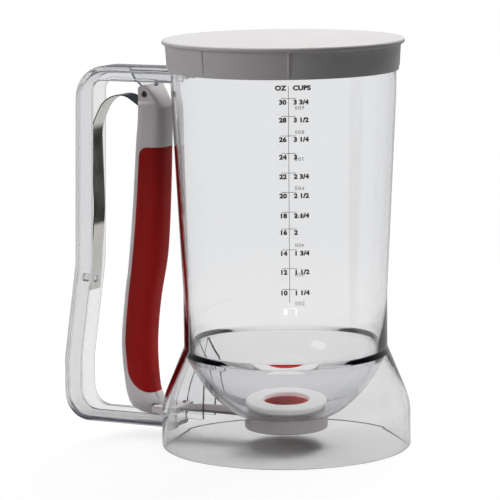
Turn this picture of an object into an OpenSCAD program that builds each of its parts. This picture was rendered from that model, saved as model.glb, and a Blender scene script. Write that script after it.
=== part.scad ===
// Batter dispenser: a clear tapered jug on a flared base, with a squeeze lever in its
// handle that draws a valve slide back under the bowl.  Axis of the jug is Z, the table
// is z = 0, and the handle lies along -X.

/* [Container] */
// Outer diameter of the straight collar that the lid fits
rim_d = 103.8; // [101:0.1:107]
// Outer diameter of the jug at its waist
waist_d = 94.8; // [92:0.1:96.4]
// Height of the rim above the table
rim_z = 188; // [178:0.5:210]
// Height of the straight collar below the rim
collar_h = 22; // [18:0.5:30]
// Height of the waist, where the base skirt starts
waist_z = 46.3; // [44:0.1:50]
// Thickness of the jug wall
wall = 2.2; // [1.8:0.1:2.6]
// Depth by which the flat floor cuts off the round of the bowl
bowl_dip = 5.6; // [4.8:0.1:6.6]
// Height of the flat floor round the outlet
floor_z = 17.2; // [16.6:0.1:19]
// Thickness of that floor and of the bowl
floor_t = 2.5; // [2.2:0.1:2.8]

/* [Base skirt] */
// Outer diameter of the base
base_d = 116; // [112:0.5:124]
// Height of the upright part of the skirt
foot_h = 14.5; // [12:0.5:17]
// Radius of the shoulder above the upright part
shoulder_r = 30; // [20:1:40]
// Thickness of the skirt wall
skirt_wall = 2.2; // [1.8:0.1:2.8]
// Height of the lap joint between jug and skirt
lap_h = 5.3; // [4:0.1:6]
// Thickness of the two guide walls inside the skirt
guide_t = 1.6; // [1.2:0.1:2.4]
// Depth of the guide walls, inwards from the skirt
guide_reach = 17.5; // [14:0.5:18]

/* [Handle] */
// Distance from the jug axis to the outermost face of the handle
handle_reach = 114.2; // [112:0.1:124]
// Width of the handle channel
handle_w = 15; // [14:0.1:18]
// Wall thickness of the channel
channel_t = 2; // [1.6:0.1:2.4]
// Depth of the channel along the upright
spine_depth = 9; // [8:0.1:9.6]
// Depth of the channel along the top arm
top_depth = 7; // [6:0.1:7.6]
// Depth of the channel along the bottom arm
bottom_depth = 6; // [5.6:0.1:6.4]
// Height of the underside of the bottom arm
arm_z = 3.8; // [3:0.1:4]
// Outer corner radius at the top of the handle
top_corner_r = 16; // [12:0.5:18]
// Outer corner radius at the bottom of the handle
low_corner_r = 13; // [12:0.5:15]

/* [Lever] */
// Distance of the pivot outwards from the jug axis
pivot_x = 69.7; // [69:0.1:72]
// Depth of the pivot below the top of the handle
pivot_drop = 12.9; // [12.4:0.1:14]
// Width of the lever
lever_w = 17; // [16:0.1:18.6]
// Depth of the lever at its thickest
lever_d = 16.8; // [15.8:0.1:17.4]
// Distance of the bead from under the pivot, towards the jug
bead_in = 3.9; // [3.4:0.1:4.2]
// Width of the lever head between the channel sides
head_w = 10; // [9:0.1:10.2]
// Thickness of the soft grip
grip_t = 1.8; // [1.2:0.1:2.2]
// Diameter of the pivot pin
pin_d = 3; // [2.4:0.1:3.6]
// Length of the pivot pin
pin_len = 7.4; // [6.6:0.1:8.4]
// Thickness of the clear lug that the pin goes through
lug_t = 4.4; // [3.6:0.1:5]

/* [Spring] */
// Width of the leaf spring
spring_w = 10.4; // [8:0.1:10.6]
// Thickness of the leaf spring
spring_t = 0.5; // [0.3:0.05:0.8]
// Diameter of the hole at the lower end of the spring
spring_hole_d = 3.6; // [3.2:0.1:4.2]
// Height of that hole above the table
peg_z = 71.9; // [68:0.1:76]
// Height of the arch at the top of the spring
arch_h = 16.5; // [14:0.1:20]

/* [Valve] */
// Diameter of the outlet
outlet_d = 22; // [18:0.5:23]
// Outer diameter of the seat ring inside the bowl
ring_d = 38.5; // [36.5:0.1:40]
// Thickness of the seat ring flange
ring_t = 2; // [1.6:0.1:2.6]
// Thickness of the gasket under the seat ring
gasket_t = 0.7; // [0.5:0.1:1]
// Outer diameter of the valve cap below the bowl
cap_d = 38.8; // [38:0.1:40]
// Height of the underside of the valve cap
cap_z = 7.5; // [6.6:0.1:7.8]
// Thickness of the floor of the valve cap
cap_floor_t = 2.9; // [2:0.1:3]
// Diameter of the round end of the slide
gate_d = 29.6; // [28:0.1:30.4]
// Thickness of the slide
slide_t = 1.5; // [1.2:0.1:1.8]
// Width of the arm of the slide
arm_w = 10; // [8:0.1:10.4]
// Diameter of the bead at the end of the arm
bead_d = 3.4; // [3.2:0.1:3.8]

/* [Lid] */
// Outer diameter of the lid flange
lid_d = 111.7; // [109.5:0.1:114]
// Thickness of the lid plate
lid_t = 1.6; // [1.2:0.1:2.4]
// Height of the lid skirt below the plate
lid_skirt_h = 12.9; // [9:0.1:12.9]
// Thickness of the lid skirt
lid_wall = 1.1; // [0.8:0.1:1.6]
// Number of ribs round the lid skirt
lid_ribs = 8; // [4:1:16]

/* [Hidden] */

$fn = 96;
// Smallest overlap that makes a cut or a join sure
eps = 0.5;
// Gap in a glued or welded seam
seam = 0.03;
// Radial play of the lid on the rim
lid_play = 0.15;
// Radial play of the pivot pin in the lever
pin_play = 0.05;
// Play of sliding and swinging pieces
play = 0.3;
// Press fit of the pivot pin in the lug
pin_fit = 0.01;
// Gap between the pad of the slide and the seat
pad_gap = 0.2;
// Height of the lip of the lid flange below the plate
lid_lip = 0.5;
// Distance of the spring from the outer face of the spine
spring_stand = 8.6;

clear = [0.86, 0.88, 0.9, 0.35];
white = [0.86, 0.85, 0.85];
red = [0.55, 0.08, 0.08];
steel = [0.72, 0.72, 0.7];
silicone = [0.85, 0.3, 0.28];

// Jug and bowl
rim_r = rim_d / 2;
waist_r = waist_d / 2;
collar_z = rim_z - collar_h;
straight_z = waist_z + 26;
bowl_inner_r = waist_r - wall;
bowl_rise = waist_z - floor_z + bowl_dip;
bowl_r = (bowl_inner_r * bowl_inner_r + bowl_rise * bowl_rise) / (2 * bowl_rise);
bowl_z = waist_z - bowl_rise + bowl_r;
bowl_outer_r = bowl_r + floor_t;
floor_under_z = floor_z - floor_t;
lap_r = waist_r - 1;
lap_z = waist_z - lap_h;

// Skirt profile: upright foot, round shoulder, then a straight cone up to the waist
base_r = base_d / 2;
shoulder_x = base_r - shoulder_r;
cone_dx = waist_r - shoulder_x;
cone_dz = waist_z - foot_h;
cone_angle = atan2(cone_dz, cone_dx) - acos(shoulder_r / norm([cone_dx, cone_dz]));

// Handle
arm_top_z = rim_z - lid_skirt_h - 0.3;
spine_top_x = handle_reach - 9;
spine_mid_x = handle_reach - 6.9;
spine_mid_z = 80;
spine_low_z = 33;
door_z = arm_z + bottom_depth + 0.6;

// Pivot and lever
pivot_z = arm_top_z - pivot_drop;
slot_w = lug_t + 0.4;
lug_r = 4;
bead_x = pivot_x - bead_in;
bead_z = 13.1;
lever_travel = 8.5;
bead_radius = norm([pivot_x - bead_x, pivot_z - bead_z]);
bead_lead = asin((pivot_x - bead_x) / bead_radius);
bead_rise = bead_radius * (cos(bead_lead) - cos(lever_travel - bead_lead));

// Valve
ring_under_z = floor_z + gasket_t;
neck_r = outlet_d / 2 + 2;
slide_z = bead_z - slide_t / 2;
cap_r = cap_d / 2;
chamber_z = cap_z + cap_floor_t;
chamber_r = gate_d / 2 + 1;
guide_y = arm_w / 2 + play;
guide_z = arm_z + 5.2;
hole_r = neck_r + 0.2;
lock_peg_r = 1;
lock_peg_h = 3;
lock_peg_y = (chamber_r + cap_r) / 2;
gate_r = gate_d / 2;
pad_groove_r = gate_r - 3.4;
pad_lip_r = gate_r - 2.2;

// A corner of an outline is [x, y, radius]; radius 0 keeps it sharp.
function unit(v) = v / norm(v);
function fillet(a, b, c, steps) =
    let (p = [b[0], b[1]], u = unit([a[0], a[1]] - p), w = unit([c[0], c[1]] - p))
    let (half = acos(max(-1, min(1, u * w))) / 2, reach = b[2] / tan(half))
    let (centre = p + unit(u + w) * b[2] / sin(half))
    let (from = p + u * reach - centre, to = p + w * reach - centre)
    let (a0 = atan2(from[1], from[0]), turn = atan2(to[1], to[0]) - a0)
    let (sweep = turn > 180 ? turn - 360 : turn < -180 ? turn + 360 : turn)
    b[2] == 0 ? [p] :
        [for (i = [0 : steps]) centre + b[2] * [cos(a0 + sweep * i / steps),
            sin(a0 + sweep * i / steps)]];
function rounded(corners, steps = 8) =
    let (n = len(corners))
    [for (i = [0 : n - 1]) each fillet(corners[(i + n - 1) % n], corners[i],
        corners[(i + 1) % n], steps)];
// The same for an open path, which keeps its first and last points
function rounded_path(corners, steps = 8) =
    let (last = len(corners) - 1)
    [for (i = [0 : last]) each i == 0 || i == last ? [[corners[i][0], corners[i][1]]] :
        fillet(corners[i - 1], corners[i], corners[i + 1], steps)];

// An outline in X and Z, drawn out to a width along Y
module upright(width, y = 0) {
    translate([0, y + width / 2, 0]) rotate([90, 0, 0]) linear_extrude(width) children();
}

// A cylinder along Y
module across(r, length, x, z) {
    translate([x, length / 2, z]) rotate([90, 0, 0]) cylinder(r = r, h = length);
}

module turned() {
    rotate_extrude() children();
}

// Outline of the jug outside, from the axis out, cut off at the lap joint
module jug_outer() {
    polygon([[0, lap_z], [lap_r, lap_z], [lap_r, waist_z],
        [waist_r, waist_z], [waist_r, straight_z], [rim_r, collar_z], [rim_r, rim_z],
        [0, rim_z]]);
}

module jug_inner() {
    polygon([[0, waist_z], [waist_r - wall, waist_z], [waist_r - wall, straight_z],
        [rim_r - wall, collar_z], [rim_r - wall, rim_z + eps], [0, rim_z + eps]]);
}

// Half disc of a sphere about the bowl centre, below a level and above another
module bowl_half(r, z_low, z_high) {
    intersection() {
        translate([0, bowl_z]) circle(r = r, $fn = 180);
        translate([0, z_low]) square([r + 1, z_high - z_low]);
    }
}

module container() {
    color(clear) {
        turned() difference() {
            union() {
                jug_outer();
                bowl_half(bowl_outer_r, floor_under_z, lap_z);
            }
            jug_inner();
            bowl_half(bowl_r, floor_z, waist_z);
            translate([0, floor_under_z - eps]) square([hole_r, floor_t + 2 * eps]);
        }
        // pegs that the valve cap is pressed on
        for (side = [-1, 1])
            translate([0, side * lock_peg_y, floor_under_z - lock_peg_h])
                cylinder(r = lock_peg_r, h = lock_peg_h + floor_t / 2);
    }
}

// Outline of the skirt, moved in by an inset
module skirt_half(inset) {
    r = shoulder_r - inset;
    top_x = waist_r - inset / cos(cone_angle);
    tip = [shoulder_x + r * cos(cone_angle), foot_h + r * sin(cone_angle)];
    union() {
        polygon([[0, -eps], [base_r - inset, -eps], [base_r - inset, foot_h], tip,
            [top_x, waist_z], [0, waist_z]]);
        intersection() {
            translate([shoulder_x, foot_h]) circle(r = r, $fn = 180);
            polygon([[shoulder_x, foot_h], [shoulder_x + 2 * r, foot_h],
                [shoulder_x + 2 * r, foot_h + 2 * r * tan(cone_angle)]]);
        }
    }
}

module skirt_wall_shape() {
    turned() difference() {
        intersection() {
            skirt_half(0);
            square([base_r + 1, waist_z]);
        }
        difference() {
            skirt_half(skirt_wall);
            translate([0, lap_z]) square([base_r, lap_h]);
        }
        translate([0, lap_z - eps]) square([lap_r + seam, lap_h + 2 * eps]);
        bowl_half(bowl_outer_r + seam, floor_under_z, lap_z);
    }
}

module guide_walls() {
    difference() {
        intersection() {
            for (side = [-1, 1])
                translate([-base_r, side * (guide_y + guide_t / 2) - guide_t / 2, guide_z])
                    cube([guide_reach, guide_t, lap_z - guide_z]);
            turned() skirt_half(skirt_wall / 2);
        }
        translate([0, 0, bowl_z]) sphere(r = bowl_outer_r + seam, $fn = 180);
    }
}

module doorway() {
    translate([-base_r - 1, 0, 0]) rotate([90, 0, 90]) linear_extrude(12)
        polygon(rounded([[-guide_y, door_z, 0.8], [guide_y, door_z, 0.8],
            [guide_y, bead_z + 2.6, 2], [-guide_y, bead_z + 2.6, 2]]));
}

module base_skirt() {
    color(clear)
    difference() {
        union() {
            skirt_wall_shape();
            guide_walls();
        }
        doorway();
    }
}

// Outer corners of the handle, moved in from the outer face by a depth on each stretch
function handle_corners(top, spine, low, r_top, r_low) = [
    [4 - rim_r, arm_top_z - top, 0],
    [spine - spine_top_x, arm_top_z - top, r_top],
    [spine - spine_mid_x, spine_mid_z, 60],
    [spine - handle_reach, spine_low_z, 40],
    [spine - handle_reach, arm_z + low, r_low],
    [4 - base_r, arm_z + low, 0]];
function reversed(list) = [for (i = [len(list) - 1 : -1 : 0]) list[i]];

// Band between the outer face of the handle and a depth behind it
module handle_band(top, spine, low, r_top, r_low) {
    polygon(concat(
        rounded_path(handle_corners(0, 0, 0, top_corner_r, low_corner_r), 10),
        reversed(rounded_path(handle_corners(top, spine, low, r_top, r_low), 10))));
}

// X of the outer face of the spine at a height
function spine_face(z) = z > spine_mid_z
    ? -spine_mid_x + (spine_mid_x - spine_top_x) * (z - spine_mid_z) / (arm_top_z - spine_mid_z)
    : -spine_mid_x - (handle_reach - spine_mid_x) * (spine_mid_z - z) / (spine_mid_z - spine_low_z);

// Side view of the lug, with the rib that stiffens the top arm between it and the jug
module lug_outline() {
    web_dz = pivot_drop - channel_t / 2;
    rib_dz = pivot_drop - top_depth + 0.5;
    rib_end = pivot_x - rim_r + 4;
    translate([-pivot_x, pivot_z]) {
        circle(r = lug_r);
        polygon([[-9.5, web_dz], [-6, 5.9], [-lug_r * cos(45), lug_r * sin(45)],
            [lug_r * cos(45), lug_r * sin(45)], [lug_r, rib_dz], [rib_end, rib_dz],
            [rib_end, web_dz]]);
    }
}

// Lower stretch of the spring, and the middle of the hole in it
spring_mid_z = peg_z + 0.38 * (pivot_z - peg_z);
spring_low = [spine_face(peg_z) + spring_stand - 0.7, peg_z - 5];
spring_mid = [spine_face(spring_mid_z) + spring_stand + 0.9, spring_mid_z];
spring_tilt = atan2(spring_mid[0] - spring_low[0], spring_mid[1] - spring_low[1]);
spring_hole = spring_low + 5 * unit(spring_mid - spring_low);

// Square to the spring at its hole, with Z away from the spine
module at_spring_hole() {
    translate([spring_hole[0], 0, spring_hole[1]]) rotate([0, 90 + spring_tilt, 0]) children();
}

module spring_peg() {
    reach = spring_stand - channel_t / 2;
    at_spring_hole() {
        translate([0, 0, -reach])
            cylinder(d = spring_hole_d + 1.8, h = reach - spring_t / 2 - seam);
        translate([0, 0, -reach])
            cylinder(d = spring_hole_d - 0.3, h = reach + spring_t / 2 + 1.4);
    }
}

module handle_frame() {
    color(clear)
    difference() {
        union() {
            upright(handle_w) handle_band(channel_t, channel_t, channel_t,
                top_corner_r - channel_t, low_corner_r - channel_t);
            for (side = [-1, 1])
                upright(channel_t, side * (handle_w - channel_t) / 2)
                    handle_band(top_depth, spine_depth, bottom_depth, 5, 9);
            upright(lug_t) lug_outline();
            spring_peg();
        }
        across(pin_d / 2 + pin_fit, handle_w + 2, -pivot_x, pivot_z);
        // the arms end on the jug and on the skirt
        cylinder(r = rim_r + seam, h = rim_z);
        turned() skirt_half(-seam);
    }
}

module pivot_pin() {
    color(steel) across(pin_d / 2, pin_len, -pivot_x, pivot_z);
}

// A path whose third values are shares of the shorter stretch beside each corner, by which
// the round of that corner reaches along it, turned into corners with radii
function eased(path) = [for (i = [0 : len(path) - 1])
    let (b = path[i], p = [b[0], b[1]])
    b[2] == 0 ? b :
        let (to_a = [path[i - 1][0], path[i - 1][1]] - p, to_c = [path[i + 1][0], path[i + 1][1]] - p)
        let (half = acos(unit(to_a) * unit(to_c)) / 2)
        [b[0], b[1], b[2] * min(norm(to_a), norm(to_c)) * tan(half)]];

// Centre line of the spring, from its lower end up and over into the lever head
arch_x = spine_face(pivot_z - arch_h) + spring_stand - 0.9;
arch_w = -pivot_x - arch_x;
spring_path = rounded_path(eased([
    [spring_low[0], spring_low[1], 0],
    [spring_mid[0], spring_mid[1], 0.14],
    [arch_x, pivot_z - arch_h, 0.34],
    [arch_x + 0.25 * arch_w, pivot_z - 2.2, 0.6],
    [arch_x + 0.62 * arch_w, pivot_z - 0.2, 0.35],
    [-pivot_x - 1.3, pivot_z - 6.4, 0]]), 6);

function side_of(path, i) =
    let (a = path[max(0, i - 1)], b = path[min(len(path) - 1, i + 1)], d = unit(b - a))
    [-d[1], d[0]];
function strip(path, t) = concat(
    [for (i = [0 : len(path) - 1]) path[i] + side_of(path, i) * t / 2],
    [for (i = [len(path) - 1 : -1 : 0]) path[i] - side_of(path, i) * t / 2]);

module leaf_spring() {
    color(steel)
    difference() {
        upright(spring_w) polygon(strip(spring_path, spring_t));
        at_spring_hole() translate([0, 0, -1]) cylinder(d = spring_hole_d, h = 2);
    }
}

// Stations down the lever: share of the way from pivot to bead, then the centre from the
// pivot and the half depth as shares of the full depth, then the share of the full width
lever_stations = [
    [-0.05, 0.185, 0.42, 1], [0.067, 0.19, 0.423, 1], [0.154, 0.143, 0.452, 1],
    [0.349, 0.042, 0.482, 1], [0.517, -0.089, 0.5, 1], [0.664, -0.298, 0.464, 1],
    [0.805, -0.411, 0.458, 1], [0.94, -0.327, 0.44, 0.98], [0.973, -0.238, 0.47, 0.92],
    [1, -0.101, 0.536, 0.77], [1.02, -0.024, 0.375, 0.5], [1.03, 0.012, 0.143, 0.18]];
lever_len = pivot_z - bead_z;

// Smooth curve through the stations
function station_slope(i) =
    let (n = len(lever_stations) - 1, a = lever_stations[max(0, i - 1)],
        b = lever_stations[min(n, i + 1)])
    (b - a) / (b[0] - a[0]);
function station_at(s, i = 0) =
    i < len(lever_stations) - 2 && s > lever_stations[i + 1][0] ? station_at(s, i + 1) :
    let (a = lever_stations[i], b = lever_stations[i + 1], h = b[0] - a[0],
        t = (s - a[0]) / h)
    a * (2 * t * t * t - 3 * t * t + 1) + b * (3 * t * t - 2 * t * t * t)
        + (station_slope(i) * (t * t * t - 2 * t * t + t)
        + station_slope(i + 1) * (t * t * t - t * t)) * h;

// Places of the sections between two shares, three to each pair of stations
function section_places(from, to) = concat([from],
    [for (i = [0 : len(lever_stations) - 2], f = [0, 1 / 3, 2 / 3])
        let (s = lever_stations[i][0] * (1 - f) + lever_stations[i + 1][0] * f)
        if (s > from + 0.004 && s < to - 0.004) s], [to]);

section_points = 20;
function signed_power(v, p) = sign(v) * pow(abs(v), p);
// One rounded section of the lever, drawn in by an inset and moved by a shift
function lever_section(s, inset, shift = 0, wider = 0) =
    let (row = station_at(s), a = lever_d * row[2] - inset + wider,
        b = lever_w / 2 * row[3] - inset)
    [for (i = [0 : section_points - 1]) let (t = 360 * i / section_points) [
        lever_d * row[1] - pivot_x + shift + a * signed_power(cos(t), 2 / 3),
        b * signed_power(sin(t), 2 / 3),
        pivot_z - s * lever_len]];

// A closed solid through a list of sections, the lowest first
module loft(rings) {
    n = len(rings[0]);
    top = len(rings) - 1;
    polyhedron(
        points = [for (ring = rings) each ring],
        faces = concat(
            [[for (i = [0 : n - 1]) i]],
            [for (k = [0 : top - 1], i = [0 : n - 1]) let (j = (i + 1) % n)
                [k * n + i, (k + 1) * n + i, (k + 1) * n + j]],
            [for (k = [0 : top - 1], i = [0 : n - 1]) let (j = (i + 1) % n)
                [k * n + i, (k + 1) * n + j, k * n + j]],
            [[for (i = [n - 1 : -1 : 0]) top * n + i]]));
}

module lever_form(from, to, inset = 0, shift = 0, wider = 0) {
    loft([for (s = reversed(section_places(from, to))) lever_section(s, inset, shift, wider)]);
}

lever_top = lever_stations[0][0];
lever_tip = lever_stations[len(lever_stations) - 1][0];
grip_top = 0.165;
grip_low = 0.952;
back_strip = 3.9;

// Side view of the space that the soft grip fills, drawn in by an inset; its lower edge
// sweeps round a wide corner and slopes down a little towards the jug
grip_top_r = 4.5;
grip_low_r = 13;
grip_slope = 1.4;
module grip_zone(inset = 0) {
    steps = 10;
    back = [for (i = [0 : steps]) if (i != steps - 1) let (s = grip_top + (grip_low - grip_top)
        * i / steps, row = station_at(s), edge = i == 0 ? -inset : i == steps ? inset : 0)
        [lever_d * (row[1] - row[2]) - pivot_x + back_strip + inset,
            pivot_z - s * lever_len + edge, i == 0 ? grip_top_r : i == steps ? grip_low_r : 0]];
    front_x = lever_d - pivot_x;
    low_z = back[len(back) - 1][1] - grip_slope;
    polygon(rounded(concat(back, [[front_x, low_z, 0], [front_x, back[0][1], 0]])));
}

// Side view of the lever head round the pivot, with its slope towards the jug
head_back = lug_r + 0.2;
head_low = -10;
module head_outline() {
    translate([-pivot_x, pivot_z])
        polygon(rounded([[-head_back, head_low, 0], [-head_back, head_back - 0.2, lug_r],
            [3.2, 4.7, 1.5], [6.5, -0.4, 12], [9.2, -6, 8], [10.8, head_low, 0]]));
}

// Hollow beside the flat cheek of the head: its side view at the cheek and at the outer
// face of the lever, from the pivot
cheek_shape = [[-14, -3.6, 0], [5, -2.9, 2.4], [0.4, 6.5, 0], [-14, 6.5, 0]];
outer_shape = [[-14, -5.2, 0], [7.4, -3.8, 3.2], [1, 6.5, 0], [-14, 6.5, 0]];
module cheek_hollow(side) {
    cheek = rounded(cheek_shape, 6);
    outer = rounded(outer_shape, 6);
    cheek_y = head_w / 2;
    face_y = lever_w / 2;
    over = face_y + (face_y - cheek_y) / 4;
    far = [for (i = [0 : len(outer) - 1]) cheek[i] + (outer[i] - cheek[i]) * 5 / 4];
    near = side > 0 ? cheek : reversed(cheek);
    away = side > 0 ? far : reversed(far);
    loft([[for (p = away) [p[0] - pivot_x, side * over, p[1] + pivot_z]],
        [for (p = near) [p[0] - pivot_x, side * cheek_y, p[1] + pivot_z]]]);
}

// What is taken off the top of the lever to shape the head: all above its outline, and the
// hollows on both sides
module head_cuts() {
    upright(lever_w + 2) difference() {
        translate([-pivot_x - lever_d, pivot_z + head_low + 1]) square([2 * lever_d, 30]);
        head_outline();
    }
    for (side = [-1, 1]) cheek_hollow(side);
}

module bead_socket() {
    mouth = lever_d * 0.7;
    for (drop = [0, bead_rise])
        across(bead_d / 2 + play, lever_w + 2, -bead_x, bead_z - drop);
    translate([-bead_x, -lever_w / 2 - 1, bead_z - bead_rise]) {
        translate([-bead_d / 2 - play, 0, 0]) cube([bead_d + 2 * play, lever_w + 2, bead_rise]);
        translate([0, 0, -slide_t / 2 - play])
            cube([mouth, lever_w + 2, slide_t + bead_rise + 2 * play]);
    }
}

module lever_body() {
    pockets = 4;
    first = 0.1;
    step = (0.93 - first) / pockets;
    rib = 0.012;
    slot_back = 9;
    slot_len = slot_back + lug_r + 0.6;
    notch_low = 8.6;
    notch_h = 5.2;
    color(white)
    difference() {
        union() {
            difference() {
                lever_form(lever_top, lever_tip);
                upright(lever_w + 2) grip_zone();
            }
            lever_form(0.12, 0.985, grip_t);
        }
        head_cuts();
        // slot for the lug, and the notch behind it for the tip of the spring
        translate([-pivot_x - slot_back, -slot_w / 2, pivot_z - lug_r - 0.8])
            cube([slot_len, slot_w, pivot_drop]);
        translate([-pivot_x - slot_back, -spring_w / 2 - play, pivot_z - notch_low])
            cube([slot_back - 0.6, spring_w + 2 * play, notch_h]);
        across(pin_d / 2 + pin_play, lever_w + 2, -pivot_x, pivot_z);
        // the moulding is open at the back, with ribs across
        for (i = [0 : pockets - 1])
            lever_form(first + i * step, first + (i + 1) * step - rib, grip_t + 2, -2.4, 2.4);
        bead_socket();
    }
}

module lever_grip() {
    color(red)
    difference() {
        intersection() {
            lever_form(0.13, 0.98);
            upright(lever_w + 2) grip_zone(seam);
        }
        lever_form(0.12, 0.985, grip_t - seam);
    }
}

module seat_ring() {
    color(white) turned() polygon(rounded([
        [outlet_d / 2, floor_under_z + seam, 0], [neck_r, floor_under_z + seam, 0],
        [neck_r, ring_under_z, 0], [ring_d / 2, ring_under_z, 0],
        [ring_d / 2, ring_under_z + ring_t, 0.8], [outlet_d / 2, ring_under_z + ring_t, 0.5]]));
}

module seat_gasket() {
    color(silicone) turned()
        translate([neck_r + 0.1, floor_z]) square([ring_d / 2 - neck_r - 0.8, gasket_t]);
}

module valve_cap() {
    top_z = floor_under_z - seam;
    color(white)
    difference() {
        turned() polygon(rounded([[0, cap_z, 0], [cap_r, cap_z, 1.2], [cap_r, top_z, 0],
            [0, top_z, 0]]));
        // chamber of the slide, open towards the handle
        translate([0, 0, chamber_z]) cylinder(r = chamber_r, h = 10);
        translate([-cap_r - 1, -chamber_r, chamber_z]) cube([cap_r + 1, 2 * chamber_r, 10]);
        translate([0, 0, cap_z - 1]) cylinder(d = outlet_d + 1, h = 10);
        for (side = [-1, 1])
            translate([0, side * lock_peg_y, top_z - lock_peg_h - 0.2])
                cylinder(r = lock_peg_r + 0.02, h = 10);
    }
}

module slide_arm() {
    color(white)
    difference() {
        union() {
            translate([0, 0, slide_z]) cylinder(r = gate_r, h = slide_t);
            translate([-bead_x, -arm_w / 2, slide_z])
                cube([bead_x - pad_groove_r - 1, arm_w, slide_t]);
            across(bead_d / 2, arm_w, -bead_x, bead_z);
        }
        translate([0, 0, slide_z - 1]) cylinder(r = pad_groove_r + seam, h = slide_t + 2);
    }
}

module gate_pad() {
    top_z = floor_under_z - pad_gap;
    low_z = chamber_z + pad_gap;
    color(silicone) turned() polygon([
        [0, low_z], [pad_lip_r, low_z], [pad_lip_r, slide_z - seam],
        [pad_groove_r, slide_z - seam], [pad_groove_r, slide_z + slide_t + seam],
        [pad_lip_r, slide_z + slide_t + seam], [pad_lip_r, top_z], [0, top_z]]);
}

module lid() {
    under_z = rim_z + 0.1;
    skirt_r = rim_r + lid_play + lid_wall;
    color(white) {
        turned() polygon(rounded([
            [0, under_z, 0], [rim_r + lid_play, under_z, 0],
            [rim_r + lid_play, under_z - lid_skirt_h, 0], [skirt_r, under_z - lid_skirt_h, 0.4],
            [skirt_r + 0.6, under_z - lid_lip, 0], [lid_d / 2, under_z - lid_lip, 0],
            [lid_d / 2, under_z + lid_t, 0.8], [0, under_z + lid_t, 0]]));
        for (i = [0 : lid_ribs - 1])
            rotate([0, 0, 27.6 + 360 * i / lid_ribs])
                translate([skirt_r - 0.5, -0.4, under_z - lid_skirt_h + 1])
                    cube([0.95, 0.8, lid_skirt_h - 1]);
    }
}

container();
base_skirt();
handle_frame();
lid();
seat_ring();
seat_gasket();
valve_cap();
slide_arm();
gate_pad();
lever_body();
lever_grip();
pivot_pin();
leaf_spring();
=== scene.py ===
"""Looks of the batter dispenser: a clear jug on a flared base, with a squeeze lever in its handle.

Sizes are in millimetres until a mesh is made. The jug stands on z = 0 with its axis on Z, and the
handle lies along -X.
"""

import logging
import math
from dataclasses import dataclass, field
from enum import Enum
from typing import Iterable, Optional, Sequence

import bmesh
import bpy
from mathutils import Matrix, Vector


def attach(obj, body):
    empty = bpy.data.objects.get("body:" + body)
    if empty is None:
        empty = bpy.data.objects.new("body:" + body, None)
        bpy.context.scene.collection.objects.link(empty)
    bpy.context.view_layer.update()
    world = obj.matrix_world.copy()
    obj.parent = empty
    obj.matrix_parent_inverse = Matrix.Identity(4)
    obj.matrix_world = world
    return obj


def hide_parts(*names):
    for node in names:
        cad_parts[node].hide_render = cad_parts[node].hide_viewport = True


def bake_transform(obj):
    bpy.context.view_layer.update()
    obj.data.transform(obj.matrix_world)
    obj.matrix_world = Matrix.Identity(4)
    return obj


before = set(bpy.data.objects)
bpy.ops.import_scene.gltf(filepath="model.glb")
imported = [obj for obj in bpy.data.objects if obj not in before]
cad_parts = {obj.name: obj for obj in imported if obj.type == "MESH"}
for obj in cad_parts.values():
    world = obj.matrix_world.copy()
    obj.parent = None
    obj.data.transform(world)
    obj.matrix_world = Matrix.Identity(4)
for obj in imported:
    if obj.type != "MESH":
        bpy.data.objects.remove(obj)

LOG = logging.getLogger("batter_dispenser")
MM = 0.001
Point = tuple[float, float]
Point3 = tuple[float, float, float]


class Body(Enum):
    """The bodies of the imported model."""

    ROOT = "root"
    LEVER = "lever"
    SLIDER = "slider"
    LID = "lid"


class Slot(Enum):
    """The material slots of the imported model."""

    CLEAR = "clear_wall"
    WHITE = "white_plastic"
    SILICONE = "red_silicone"
    GRIP = "red_grip"
    STEEL = "spring_steel"


# ---------------------------------------------------------------- sizes shared by the pieces


@dataclass(frozen=True)
class Sizes:
    """Sizes that more than one piece takes, in millimetres, as in the solids."""

    rim_r: float = 51.9
    waist_r: float = 47.4
    rim_z: float = 188.0
    collar_z: float = 166.0
    straight_z: float = 72.3
    waist_z: float = 46.3
    lap_z: float = 41.0
    wall: float = 2.2
    floor_z: float = 17.2
    floor_t: float = 2.5
    bowl_dip: float = 5.6
    base_r: float = 58.0
    foot_h: float = 14.5
    shoulder_r: float = 30.0
    arm_top_z: float = 174.8
    handle_reach: float = 114.2
    spine_top_in: float = 9.0
    spine_mid_in: float = 6.9
    spine_mid_z: float = 80.0
    spine_low_z: float = 33.0
    pivot_x: float = 69.7
    pivot_z: float = 161.9
    bead_x: float = 65.8
    bead_z: float = 13.1
    lever_w: float = 17.0
    lever_d: float = 16.8
    spring_stand: float = 8.6
    peg_z: float = 71.9
    seam: float = 0.03

    @property
    def bowl_inner_r(self) -> float:
        """Inner radius of the jug at its waist."""
        return self.waist_r - self.wall

    @property
    def bowl_rise(self) -> float:
        """Height of the round of the bowl, its cut-off part with it."""
        return self.waist_z - self.floor_z + self.bowl_dip

    @property
    def bowl_r(self) -> float:
        """Radius of the inside of the bowl."""
        return (self.bowl_inner_r**2 + self.bowl_rise**2) / (2 * self.bowl_rise)

    @property
    def bowl_z(self) -> float:
        """Height of the centre of the bowl."""
        return self.waist_z - self.bowl_rise + self.bowl_r

    @property
    def floor_under_z(self) -> float:
        """Underside of the flat floor round the outlet."""
        return self.floor_z - self.floor_t

    @property
    def lever_len(self) -> float:
        """Height of the pivot above the bead."""
        return self.pivot_z - self.bead_z

    def spine_face(self, z: float) -> float:
        """X of the outer face of the handle's upright at a height."""
        low, bend_z = self.handle_reach, self.spine_mid_z
        top, mid = low - self.spine_top_in, low - self.spine_mid_in
        if z > bend_z:
            return -mid + (mid - top) * (z - bend_z) / (self.arm_top_z - bend_z)
        return -mid - (low - mid) * (bend_z - z) / (bend_z - self.spine_low_z)


SIZES = Sizes()


# ---------------------------------------------------------------- outlines


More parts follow.
